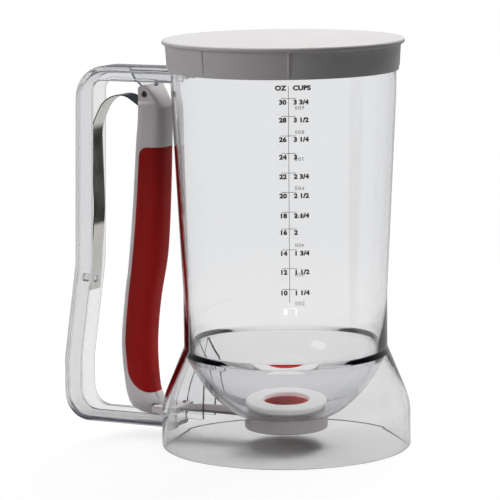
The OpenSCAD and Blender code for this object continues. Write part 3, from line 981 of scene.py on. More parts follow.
@dataclass
class ClearBody:
    """The clear jug with its round bowl and the flared base, drawn as one piece without their joint."""

    s: Sizes
    hole_r: float = 13.2
    skirt_wall: float = 2.2
    guide_r: float = 40.0
    segments: int = 192
    peg_r: float = 1.0
    peg_h: float = 3.0
    peg_y: float = 17.6
    guide_t: float = 1.6
    guide_y: float = 5.3
    guide_z: float = 9.0
    guide_in: float = 40.5
    door_z: float = 10.4
    door_top: float = 15.7
    door_x: Point = (-60.0, -47.0)
    crotch: Point = (46.45, 44.2)

    @property
    def shoulder_x(self) -> float:
        """Radius of the centre line of the shoulder's round."""
        return self.s.base_r - self.s.shoulder_r

    @property
    def cone_angle(self) -> float:
        """Angle of the straight cone above the shoulder, in degrees."""
        dx, dz = self.s.waist_r - self.shoulder_x, self.s.waist_z - self.s.foot_h
        return math.degrees(math.atan2(dz, dx) - math.acos(self.s.shoulder_r / math.hypot(dx, dz)))

    def side(self, inset: float, top_z: float, steps: int = 20) -> list[Point]:
        """Points up the side of the skirt, moved in by an inset, up to a height."""
        s = self.s
        shoulder = arc(self.shoulder_x, s.foot_h, s.shoulder_r - inset, 0, self.cone_angle, steps)
        tip = shoulder[-1]
        return shoulder + [(tip[0] - (top_z - tip[1]) * math.tan(math.radians(self.cone_angle)), top_z)]

    def profile(self) -> list[Point]:
        """Closed outline of the wall, the bowl and the skirt, as radius and height."""
        s = self.s
        inner, outer = s.bowl_r, s.bowl_r + s.floor_t
        groove_z = s.lap_z + 0.4

        def turn(z: float, r: float) -> float:
            """Angle at the bowl's centre of a height on its round, in degrees."""
            return math.degrees(math.asin((z - s.bowl_z) / r))

        under = arc(0, s.bowl_z, outer, turn(s.floor_under_z, outer), turn(groove_z, outer), 40)
        bowl = arc(0, s.bowl_z, inner, turn(s.waist_z, inner), turn(s.floor_z, inner), 44)
        corners = (
            [Corner(self.hole_r, s.floor_z, 0.2), Corner(self.hole_r, s.floor_under_z, 0.2)]
            + as_corners(under)
            + [Corner(*self.crotch, 0.15)]
            + as_corners(reversed(self.side(self.skirt_wall, groove_z)))
            + [Corner(s.base_r - self.skirt_wall, 0, 0.5), Corner(s.base_r, 0, 0.8)]
            + as_corners(self.side(0, s.waist_z - 4))
            + [
                Corner(s.waist_r, s.waist_z, 1.5),
                Corner(s.waist_r, s.straight_z, 90),
                Corner(s.rim_r, s.collar_z, 90),
                Corner(s.rim_r, s.rim_z, 0.9),
                Corner(s.rim_r - s.wall, s.rim_z, 0.9),
                Corner(s.rim_r - s.wall, s.collar_z, 90),
                Corner(s.waist_r - s.wall, s.straight_z, 90),
            ]
            + as_corners(bowl)
        )
        return rounded(corners, 8)

    def guide(self, name: str, side: int) -> bpy.types.Object:
        """One of the two guide walls, between the skirt and the bowl."""
        s, y0 = self.s, self.guide_y
        middle = self.side(self.skirt_wall / 2, s.lap_z + 1)
        outward = [(-math.sqrt(r**2 - y0**2), z) for r, z in middle]
        reach = (s.bowl_r + s.floor_t - 0.6) ** 2 - y0**2
        low = [(outward[0][0], self.guide_z), (-self.guide_in, self.guide_z)]
        meet = s.bowl_z - math.sqrt(reach - self.guide_in**2)
        steps = [meet + (s.lap_z + 1 - meet) * i / 12 for i in range(13)]
        inward = [(-math.sqrt(reach - (z - s.bowl_z) ** 2), z) for z in steps]
        return prism(name, list(reversed(outward)) + low + inward, side * y0, side * (y0 + self.guide_t))

    def build(self, finishes: Finishes, revolve: GeometryTree) -> None:
        """Builds the body, its guide walls, its locking pegs and the doorway of the slide."""
        s = self.s
        loop = [(r - self.guide_r, -z, 0.0) for r, z in self.profile()]
        body = revolve.apply(
            flat_curve("clear_jug_and_base", loop, True),
            Guide_radius=self.guide_r * MM,
            Segments=self.segments,
            Material=finishes.jug,
        )
        top = s.floor_under_z + s.floor_t / 2
        low = s.floor_under_z - self.peg_h
        pegs = [rod("peg", self.peg_r, (0, y, low), (0, y, top)) for y in (-self.peg_y, self.peg_y)]
        carve(body, Op.JOIN, *pegs, self.guide("guide_left", -1), self.guide("guide_right", 1))
        y, z0, z1 = self.guide_y, self.door_z, self.door_top
        door = rounded([Corner(-y, z0, 0.8), Corner(y, z0, 0.8), Corner(y, z1, 2), Corner(-y, z1, 2)], 6)
        carve(body, Op.CUT, loft("doorway", [[(x, p, z) for p, z in door] for x in self.door_x]))
        dress(body, finishes.jug, Body.ROOT, Slot.CLEAR, "container", "base_skirt")


# ---------------------------------------------------------------- handle


@dataclass
class Handle:
    """The clear channel handle, open inwards, with the lug of the lever and the spring's peg."""

    s: Sizes
    width: float = 15.0
    web: float = 2.0
    depths: tuple[float, float, float] = (7.0, 9.0, 6.0)
    outer_r: tuple[float, float] = (16.0, 13.0)
    inner_r: tuple[float, float] = (5.0, 9.0)
    arm_z: float = 3.8
    lug_t: float = 4.4
    lug_r: float = 4.0
    bore_r: float = 1.51
    hole_d: float = 3.6
    recess: float = 0.3
    recess_start: float = 2.0
    recess_slope: float = 0.2
    recess_end: float = 1.2
    wall: float = 2.0
    overlap: float = 4.0
    spine_r: tuple[float, float] = (60.0, 40.0)

    def path(self, depths: tuple[float, float, float], r_top: float, r_low: float) -> list[Point]:
        """Points along the handle, moved in from its outer face by a depth on each stretch."""
        s = self.s
        top, spine, low = depths
        face = spine - s.handle_reach
        return rounded(
            [
                Corner(self.overlap - s.rim_r, s.arm_top_z - top),
                Corner(face + s.spine_top_in, s.arm_top_z - top, r_top),
                Corner(face + s.spine_mid_in, s.spine_mid_z, self.spine_r[0]),
                Corner(face, s.spine_low_z, self.spine_r[1]),
                Corner(face, self.arm_z + low, r_low),
                Corner(self.overlap - s.base_r, self.arm_z + low),
            ],
            12,
            closed=False,
        )

    def section(self, depth: float) -> list[Point]:
        """Rounded section of the channel, as depth from the outer face and Y."""
        half, inside = self.width / 2, self.width / 2 - self.wall
        start, end, sunk = self.recess_start, self.recess_end, half - self.recess
        return rounded(
            [
                Corner(0, -half, 1.2),
                Corner(0, half, 1.2),
                Corner(start, half, 0.15),
                Corner(start + self.recess_slope, sunk, 0.15),
                Corner(depth - (end + self.recess_slope), sunk, 0.15),
                Corner(depth - end, half, 0.15),
                Corner(depth, half, 0.6),
                Corner(depth, inside, 0.6),
                Corner(self.web, inside, 1.2),
                Corner(self.web, -inside, 1.2),
                Corner(depth, -inside, 0.6),
                Corner(depth, -half, 0.6),
                Corner(depth - end, -half, 0.15),
                Corner(depth - (end + self.recess_slope), -sunk, 0.15),
                Corner(start + self.recess_slope, -sunk, 0.15),
                Corner(start, -half, 0.15),
            ],
            5,
        )

    def channel(self) -> bpy.types.Object:
        """The channel, ended on the jug above and on the skirt below."""
        s, web = self.s, self.web
        outer = self.path((0, 0, 0), *self.outer_r)
        middle = self.path((web, web, web), self.outer_r[0] - web, self.outer_r[1] - web)
        inner = self.path(self.depths, *self.inner_r)
        rings: list[list[Point3]] = []
        for o, m, i in zip(outer, middle, inner):
            o_v, m_v, i_v = Vector(o), Vector(m), Vector(i)
            depth = web + (i_v - m_v).length
            ring = []
            for d, y in self.section(depth):
                p = o_v.lerp(m_v, d / web) if d <= web else m_v.lerp(i_v, (d - web) / (depth - web))
                ring.append((p.x, y, p.y))
            rings.append(ring)
        for ring, r in ((0, s.rim_r + s.seam), (-1, s.base_r + s.seam)):
            rings[ring] = [(-math.sqrt(r**2 - y**2), y, z) for _, y, z in rings[ring]]
        return loft("handle_channel", rings)

    def lug(self) -> bpy.types.Object:
        """The lug that holds the pivot pin, with the rib between it and the jug."""
        s = self.s
        web_z = s.arm_top_z - self.web / 2 - s.pivot_z
        rib_z = s.arm_top_z - self.depths[0] + 0.5 - s.pivot_z
        rib_end = s.pivot_x - s.rim_r + 1
        bottom = arc(0, 0, self.lug_r, 135, 360, 34)
        outline = rounded(
            [Corner(-9.5, web_z), Corner(-6, 5.9, 4)]
            + as_corners(bottom)
            + [Corner(self.lug_r, rib_z, 1.5), Corner(rib_end, rib_z), Corner(rib_end, web_z)],
            5,
        )
        half = self.lug_t / 2
        return prism("lug", [(x - s.pivot_x, z + s.pivot_z) for x, z in outline], -half, half)

    def build(self, finishes: Finishes, spring: "LeafSpring") -> None:
        """Builds the handle."""
        s = self.s
        handle = self.channel()
        reach = s.spring_stand - self.web / 2
        shoulder = rod("peg_shoulder", self.hole_d / 2 + 0.15, spring.beside(-reach), spring.beside(-0.28))
        peg = rod("peg", self.hole_d / 2 - 0.15, spring.beside(-reach), spring.beside(0.9))
        carve(handle, Op.JOIN, soften(self.lug(), 0.4), shoulder, soften(peg, 0.35))
        bore = rod("bore", self.bore_r, (-s.pivot_x, -9, s.pivot_z), (-s.pivot_x, 9, s.pivot_z))
        jug = rod("jug_space", s.rim_r + s.seam, (0, 0, s.collar_z), (0, 0, s.rim_z), 192)
        carve(handle, Op.CUT, bore, jug)
        dress(handle, finishes.handle, Body.ROOT, Slot.CLEAR, "handle_frame")


# ---------------------------------------------------------------- leaf spring


@dataclass
class LeafSpring:
    """The steel strip that bends from the handle up and over into the lever's head."""

    s: Sizes
    width: float = 10.4
    thickness: float = 0.5
    hole_d: float = 3.6
    arch_h: float = 16.5
    sections: int = 150

    def low_end(self) -> tuple[Vector, Vector]:
        """The lower end of the strip, and the middle of its lower stretch."""
        s = self.s
        mid_z = s.peg_z + 0.38 * (s.pivot_z - s.peg_z)
        low = Vector((s.spine_face(s.peg_z) + s.spring_stand - 0.7, s.peg_z - 5))
        mid = Vector((s.spine_face(mid_z) + s.spring_stand + 0.9, mid_z))
        return low, mid

    def path(self) -> list[Point]:
        """Centre line of the strip in X and Z."""
        s = self.s
        low, mid = self.low_end()
        arch_x = s.spine_face(s.pivot_z - self.arch_h) + s.spring_stand - 0.9
        span = -s.pivot_x - arch_x
        corners = [
            Corner(low.x, low.y),
            Corner(mid.x, mid.y, 0.14),
            Corner(arch_x, s.pivot_z - self.arch_h, 0.34),
            Corner(arch_x + 0.25 * span, s.pivot_z - 2.2, 0.6),
            Corner(arch_x + 0.62 * span, s.pivot_z - 0.2, 0.35),
            Corner(-s.pivot_x - 1.3, s.pivot_z - 6.4),
        ]
        return rounded(eased(corners), 16, closed=False)

    def hole_place(self) -> tuple[Vector, Vector]:
        """Centre of the hole, and the direction away from the handle's upright."""
        low, mid = self.low_end()
        along = (mid - low).normalized()
        return low + 5 * along, Vector((along.y, -along.x))

    def beside(self, distance: float) -> Point3:
        """The point a distance away from the hole, square to the strip."""
        spot, out = self.hole_place()
        p = spot + out * distance
        return (p.x, 0.0, p.y)

    def build(self, finishes: Finishes, strip: GeometryTree) -> None:
        """Builds the strip, which bends between the handle and the lever."""
        line = flat_curve("spring_strip", [(x, 0.0, z) for x, z in self.path()], False)
        spring = strip.apply(
            line,
            Width=self.width * MM,
            Thickness=self.thickness * MM,
            Sections=self.sections,
            Material=finishes.spring,
        )
        carve(spring, Op.CUT, rod("spring_hole", self.hole_d / 2, self.beside(-1.5), self.beside(1.5)))
        spring.data.materials.clear()
        spring.data.materials.append(finishes.spring)
        smooth(spring, 35)
        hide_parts("leaf_spring")
        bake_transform(spring)
        LOG.info("%s: %d faces between handle and lever", spring.name, len(spring.data.polygons))


# ---------------------------------------------------------------- lever


@dataclass
class Lever:
    """The squeeze lever: a white moulding with a red grip in front of its back strip."""

    s: Sizes
    stations: list[tuple[float, float, float, float]] = field(
        default_factory=lambda: [
            (-0.05, 0.185, 0.42, 1),
            (0.067, 0.19, 0.423, 1),
            (0.154, 0.143, 0.452, 1),
            (0.349, 0.042, 0.482, 1),
            (0.517, -0.089, 0.5, 1),
            (0.664, -0.298, 0.464, 1),
            (0.805, -0.411, 0.458, 1),
            (0.94, -0.327, 0.44, 0.98),
            (0.973, -0.238, 0.47, 0.92),
            (1, -0.101, 0.536, 0.77),
            (1.02, -0.024, 0.375, 0.5),
            (1.03, 0.012, 0.143, 0.18),
        ]
    )
    grip_t: float = 1.8
    grip_top: float = 0.165
    grip_low: float = 0.952
    back_strip: float = 3.9
    head_w: float = 10.0
    lug_t: float = 4.4
    lug_r: float = 4.0
    bead_d: float = 3.4
    slide_t: float = 1.5
    bead_rise: float = 1.058
    play: float = 0.15
    grip_top_r: float = 4.5
    grip_low_r: float = 13.0
    grip_slope: float = 1.4
    front_x: float = 3.2
    front_z: float = 4.7
    front_curve: float = 0.031
    front_drop: float = 16.0
    strip_w: float = 10.4
    lug_gap: float = 0.2
    pin_r: float = 1.55
    points: int = 96
    sections: int = 110

    def slope(self, i: int) -> list[float]:
        """Slope of the smooth curve at a station."""
        rows = self.stations
        a, b = rows[max(0, i - 1)], rows[min(len(rows) - 1, i + 1)]
        return [(q - p) / (b[0] - a[0]) for p, q in zip(a, b)]

    def at(self, s: float) -> list[float]:
        """The station at a share of the way from the pivot to the bead."""
        rows = self.stations
        i = max(0, max(k for k in range(len(rows) - 1) if k == 0 or rows[k][0] < s))
        a, b = rows[i], rows[i + 1]
        h = b[0] - a[0]
        t = (s - a[0]) / h
        ka, kb = self.slope(i), self.slope(i + 1)
        low, high = 2 * t**3 - 3 * t**2 + 1, 3 * t**2 - 2 * t**3
        return [
            p * low + q * high + (u * (t**3 - 2 * t**2 + t) + v * (t**3 - t**2)) * h
            for p, q, u, v in zip(a, b, ka, kb)
        ]

    def front(self, z: float) -> float:
        """X of the slope in front of the head at a height, both from the pivot."""
        drop = self.front_z - z
        return self.front_x + drop - self.front_curve * drop**2 if drop < self.front_drop else math.inf

    def cheek(self, x: float, z: float) -> float:
        """Half width that the hollow beside the head leaves, at a place from the pivot."""
        right = 5 - 0.49 * (z + 2.9)
        right_far = 7.4 - 0.62 * (z + 3.8)
        low = -3.6 + 0.037 * (x + 14)
        low_far = -5.2 + 0.065 * (x + 14)
        aside = min(max((x - right) / (right_far - right), 0.0), 1.0)
        below = min(max((low - z) / (low - low_far), 0.0), 1.0)
        share = max(aside**2 * (3 - 2 * aside), below)
        return self.head_w / 2 + share * (self.s.lever_w - self.head_w) / 2

    def ring(self, s: float, inset: float, shift: float, wider: float) -> list[Point3]:
        """One rounded section of the lever, drawn in beside its head."""
        size, row = self.s, self.at(s)
        a, b = size.lever_d * row[2] - inset + wider, size.lever_w / 2 * row[3] - inset
        middle, height = size.lever_d * row[1] + shift, -s * size.lever_len
        out = []
        a_front = max(0.3, min(a, self.front(height) - middle - inset))
        for i in range(self.points):
            t = 2 * math.pi * (i + 0.5) / self.points
            c, d = math.cos(t), math.sin(t)
            r = (abs(c / (a_front if c > 0 else a)) ** 3 + abs(d / b) ** 3) ** (-1 / 3)
            x, y = middle + r * c, r * d
            limit = self.cheek(x, height)
            out.append((x - size.pivot_x, max(-limit, min(limit, y)), size.pivot_z + height))
        return out

    def form(
        self, name: str, start: float, end: float, inset: float = 0.0, shift: float = 0.0, wider: float = 0.0
    ) -> bpy.types.Object:
        """A stretch of the lever's form.

        Args:
            name: Name of the solid.
            start: Share of the way from the pivot where it starts.
            end: Share where it ends.
            inset: How far it is drawn in all round.
            shift: How far it is moved along X.
            wider: How much more it reaches along X.

        Returns:
            The solid.
        """
        count = max(6, round(self.sections * (end - start)))
        places = [start + (end - start) * i / count for i in range(count + 1)]
        tip = [0.985, 0.995, 1.005, 1.012, 1.0175, 1.0225, 1.0265, 1.029]
        head = [(i - 24) * 0.25 / self.s.lever_len for i in range(53)]
        places = sorted(set(places + [s for s in tip + head if start < s < end]))
        return loft(name, [self.ring(s, inset, shift, wider) for s in reversed(places)])

    def zone(self, name: str, inset: float) -> bpy.types.Object:
        """The space that the grip fills, drawn in by an inset, with a wide sweep at its lower corner."""
        size, steps = self.s, 10
        radii = {0: self.grip_top_r, steps: self.grip_low_r}
        back = []
        for i in (*range(steps - 1), steps):
            s = self.grip_top + (self.grip_low - self.grip_top) * i / steps
            row = self.at(s)
            edge = -inset if i == 0 else inset if i == steps else 0
            x = size.lever_d * (row[1] - row[2]) - size.pivot_x + self.back_strip + inset
            back.append(Corner(x, size.pivot_z - s * size.lever_len + edge, radii.get(i, 0)))
        front = size.lever_d - size.pivot_x
        outline = rounded(back + [Corner(front, back[-1].y - self.grip_slope), Corner(front, back[0].y)], 16)
        half = size.lever_w / 2 + 1
        return prism(name, outline, -half, half)

    def above_head(self) -> bpy.types.Object:
        """All that is taken off above the head and behind its round back."""
        s, back = self.s, self.lug_r + 0.2
        kept = [
            Corner(-back, -9),
            Corner(-back, self.lug_r, self.lug_r),
            Corner(self.front_x, self.front_z),
            Corner(14, 5.2),
        ]
        around = [(14.0, 21.0), (-s.lever_d, 21.0), (-s.lever_d, -9.0)]
        outline = [(x - s.pivot_x, z + s.pivot_z) for x, z in rounded(kept, 12, closed=False) + around]
        half = s.lever_w / 2 + 1
        return prism("above_head", outline, -half, half)

    def pockets(self) -> list[bpy.types.Object]:
        """The hollows at the open back of the moulding, between its cross ribs."""
        first, last, count, rib = 0.1, 0.93, 4, 0.012
        step = (last - first) / count
        return [
            self.form(f"pocket_{i}", first + i * step, first + (i + 1) * step - rib, self.grip_t + 2, -2.4, 2.4)
            for i in range(count)
        ]

    def socket(self) -> list[bpy.types.Object]:
        """The slot in the foot that the bead of the slide sits in."""
        s = self.s
        half, r = s.lever_w / 2 + 1, self.bead_d / 2 + self.play
        top, low = s.bead_z, s.bead_z - self.bead_rise
        slot = arc(-s.bead_x, top, r, 0, 180, 24) + arc(-s.bead_x, low, r, 180, 360, 24)
        mouth = (low - self.slide_t / 2 - self.play, low + self.slide_t / 2 + self.bead_rise + self.play)
        return [
            prism("bead_slot", slot, -half, half),
            block("bead_mouth", (-s.bead_x, 12 - s.bead_x), (-half, half), mouth),
        ]

    def build(self, finishes: Finishes) -> None:
        """Builds the moulding and its grip."""
        s = self.s
        body = self.form("lever_moulding", self.stations[0][0], self.stations[-1][0])
        carve(body, Op.CUT, self.zone("grip_space", 0.0))
        carve(body, Op.JOIN, self.form("lever_core", 0.12, 0.985, self.grip_t))
        carve(body, Op.CUT, self.above_head())
        x, z = -s.pivot_x, s.pivot_z
        slot = (self.lug_t + 2 * self.lug_gap) / 2
        notch = self.strip_w / 2 + self.play
        cuts = [
            block("lug_slot", (x - 9, x + self.lug_r + self.play), (-slot, slot), (z - 4.8, z + 15)),
            block("tip_notch", (x - 9, x - 0.6), (-notch, notch), (z - 8.6, z - 3.4)),
            rod("pin_bore", self.pin_r, (x, -10, z), (x, 10, z)),
        ]
        carve(body, Op.CUT, *cuts, *self.pockets(), *self.socket())
        dress(body, finishes.lever, Body.LEVER, Slot.WHITE, "lever_body", angle=28)
        grip = self.form("soft_grip", 0.13, 0.98)
        carve(grip, Op.KEEP, self.zone("grip_limit", s.seam))
        carve(grip, Op.CUT, self.form("grip_inside", 0.12, 0.985, self.grip_t - s.seam))
        dress(grip, finishes.grip, Body.LEVER, Slot.GRIP, "lever_grip", angle=28)


# ---------------------------------------------------------------- valve


@dataclass
class Valve:
    """The outlet below the bowl: seat ring, cap, and the slide with its red pad."""

    s: Sizes
    outlet_r: float = 11.0
    neck_r: float = 13.0
    ring_r: float = 19.25
    ring_t: float = 2.0
    gasket_t: float = 0.7
    liner_t: float = 0.5
    liner_drop: float = 1.9
    cap_r: float = 19.4
    cap_z: float = 7.5
    chamber_z: float = 10.4
    chamber_r: float = 15.8
    gate_r: float = 14.8
    slide_t: float = 1.5
    arm_w: float = 10.0
    bead_r: float = 1.7
    peg_r: float = 1.0
    peg_y: float = 17.6
    peg_gap: float = 0.02
    mouth_gap: float = 0.5
    groove_in: float = 3.4
    lip_in: float = 2.2
    pad_gap: float = 0.2

    def build_ring(self, finishes: Finishes) -> None:
        """The ring that clamps the valve, inside the bowl, with a red liner in its bore."""
        low, under = self.s.floor_under_z + self.s.seam, self.s.floor_z + self.gasket_t
        top = under + self.ring_t
        bore_r, edge = self.outlet_r + self.liner_t, top - self.liner_drop
        profile = rounded(
            [
                Corner(bore_r + self.s.seam, low, 0.15),
                Corner(self.neck_r, low, 0.15),
                Corner(self.neck_r, under),
                Corner(self.ring_r, under, 0.3),
                Corner(self.ring_r, top, 1.1),
                Corner(self.outlet_r, top, 0.5),
                Corner(self.outlet_r, edge + self.s.seam),
                Corner(bore_r + self.s.seam, edge + self.s.seam),
            ],
            6,
        )
        liner = [
            Corner(self.outlet_r, low, 0.15),
            Corner(bore_r, low, 0.15),
            Corner(bore_r, edge, 0.15),
            Corner(self.outlet_r, edge, 0.15),
        ]
        dress(lathe("bore_liner", rounded(liner, 4)), finishes.liner, Body.ROOT, Slot.SILICONE)
        dress(lathe("clamp_ring", profile), finishes.ring, Body.ROOT, Slot.WHITE, "seat_ring")

    def build_cap(self, finishes: Finishes) -> None:
        """The cap under the bowl, open towards the handle."""
        top = self.s.floor_under_z - self.s.seam
        profile = rounded(
            [Corner(0, self.cap_z), Corner(self.cap_r, self.cap_z, 1.2), Corner(self.cap_r, top, 0.25), Corner(0, top)],
            6,
        )
        cap = lathe("outlet_cap", [(0.0, self.cap_z)] + profile[1:-1] + [(0.0, top)])
        high = top + 3
        room = rod("chamber", self.chamber_r, (0, 0, self.chamber_z), (0, 0, high), 128)
        way_out = block("way_out", (-self.cap_r - 1, 0.0), (-self.chamber_r, self.chamber_r), (self.chamber_z, high))
        carve(room, Op.JOIN, way_out)
        mouth = rod("mouth", self.outlet_r + self.mouth_gap, (0, 0, self.cap_z - 2), (0, 0, high), 128)
        holes = [
            rod("peg_hole", self.peg_r + self.peg_gap, (0, y, top - 3.2), (0, y, high))
            for y in (-self.peg_y, self.peg_y)
        ]
        carve(cap, Op.CUT, room, mouth, *holes)
        dress(cap, finishes.valve, Body.ROOT, Slot.WHITE, "valve_cap")

    def build_slide(self, finishes: Finishes) -> None:
        """The slide: a round gate, its flat arm and the bead at its end."""
        s = self.s
        low, groove = s.bead_z - self.slide_t / 2, self.gate_r - self.groove_in
        high, mid = low + self.slide_t, s.bead_z
        plate = lathe(
            "slide_plate",
            rounded(
                [
                    Corner(groove + s.seam, low),
                    Corner(self.gate_r, low, 0.3),
                    Corner(self.gate_r, high, 0.3),
                    Corner(groove + s.seam, high),
                ],
                4,
            ),
        )
        half = self.arm_w / 2
        edges = ((-half, low), (half, low), (half, high), (-half, high))
        section = rounded([Corner(y, z, 0.35) for y, z in edges], 4)
        arm = loft("slide_bar", [[(x, y, z) for y, z in section] for x in (-s.bead_x, -groove - 1)])
        bead = soften(rod("bead", self.bead_r, (-s.bead_x, -half, mid), (-s.bead_x, half, mid)), 0.35)
        carve(plate, Op.JOIN, arm, bead)
        dress(plate, finishes.slide, Body.SLIDER, Slot.WHITE, "slide_arm")
        lip, seam, gap = self.gate_r - self.lip_in, s.seam, self.pad_gap
        pad = rounded(
            [
                Corner(0, self.chamber_z + gap),
                Corner(lip, self.chamber_z + gap, 0.4),
                Corner(lip, low - seam, 0.15),
                Corner(groove, low - seam),
                Corner(groove, high + seam),
                Corner(lip, high + seam, 0.15),
                Corner(lip, s.floor_under_z - gap, 0.4),
                Corner(0, s.floor_under_z - gap),
            ],
            4,
        )
        dress(lathe("gate_disc", pad), finishes.silicone, Body.SLIDER, Slot.SILICONE, "gate_pad")

    def build(self, finishes: Finishes) -> None:
        """Builds the pieces of the valve."""
        self.build_ring(finishes)
        self.build_cap(finishes)
        self.build_slide(finishes)
        redress("seat_gasket", finishes.pale_silicone)


# ---------------------------------------------------------------- lid


@dataclass
class Lid:
    """The white lid that lifts off, with fine ribs round its skirt."""

    s: Sizes
    play: float = 0.15
    wall: float = 1.1
    plate_t: float = 1.6
    skirt_h: float = 12.9
    flange_r: float = 55.85
    lip: float = 0.5
    ribs: int = 8
    first_rib: float = 27.6
    lean: float = 0.6
    rib_half: float = 0.42
    rib_out: float = 0.42
    rib_root: float = 0.7
    rib_flat: float = 0.12

    def build(self, finishes: Finishes, ring_of: GeometryTree) -> None:
        """Builds the lid and its ring of ribs as one piece."""
        s = self.s
        under, bore = s.rim_z + 0.1, s.rim_r + self.play
        skirt, low = bore + self.wall, under - self.skirt_h
        top, lip = under + self.plate_t, under - self.lip
        profile = rounded(
            [
                Corner(0, under),
                Corner(bore, under, 0.3),
                Corner(bore, low, 0.3),
                Corner(skirt, low, 0.4),
                Corner(skirt + self.lean, lip, 0.9),
                Corner(self.flange_r, lip, 0.7),
                Corner(self.flange_r, top, 1.1),
                Corner(0, top),
            ],
            8,
        )
        shell = lathe("lid_shell", profile, 192)
        half, reach = self.rib_half, self.rib_out
        rings = []
        for z, out in ((low + 0.9, 0.0), (low + 1.6, reach), (lip - 2.0, reach + 0.1), (lip + 0.3, reach + 0.5)):
            base = skirt + (z - low) * self.lean / self.skirt_h
            flank = [(base - self.rib_root, half), (base + out * 0.2, half), (base + out, self.rib_flat)]
            rings.append([(x, -y, z) for x, y in flank] + [(x, y, z) for x, y in reversed(flank)])
        rib = loft("lid_ribs", rings)
        ribs = ring_of.apply(rib, Count=self.ribs, First_angle=math.radians(self.first_rib), Material=finishes.lid)
        carve(shell, Op.JOIN, ribs)
        dress(shell, finishes.lid, Body.LID, Slot.WHITE, "lid", angle=35)


# ---------------------------------------------------------------- printed scale


@dataclass(frozen=True)
class Mark:
    """One mark of the scale: its height, and the words left and right of the line."""

    z: float
    left: str
    right: str


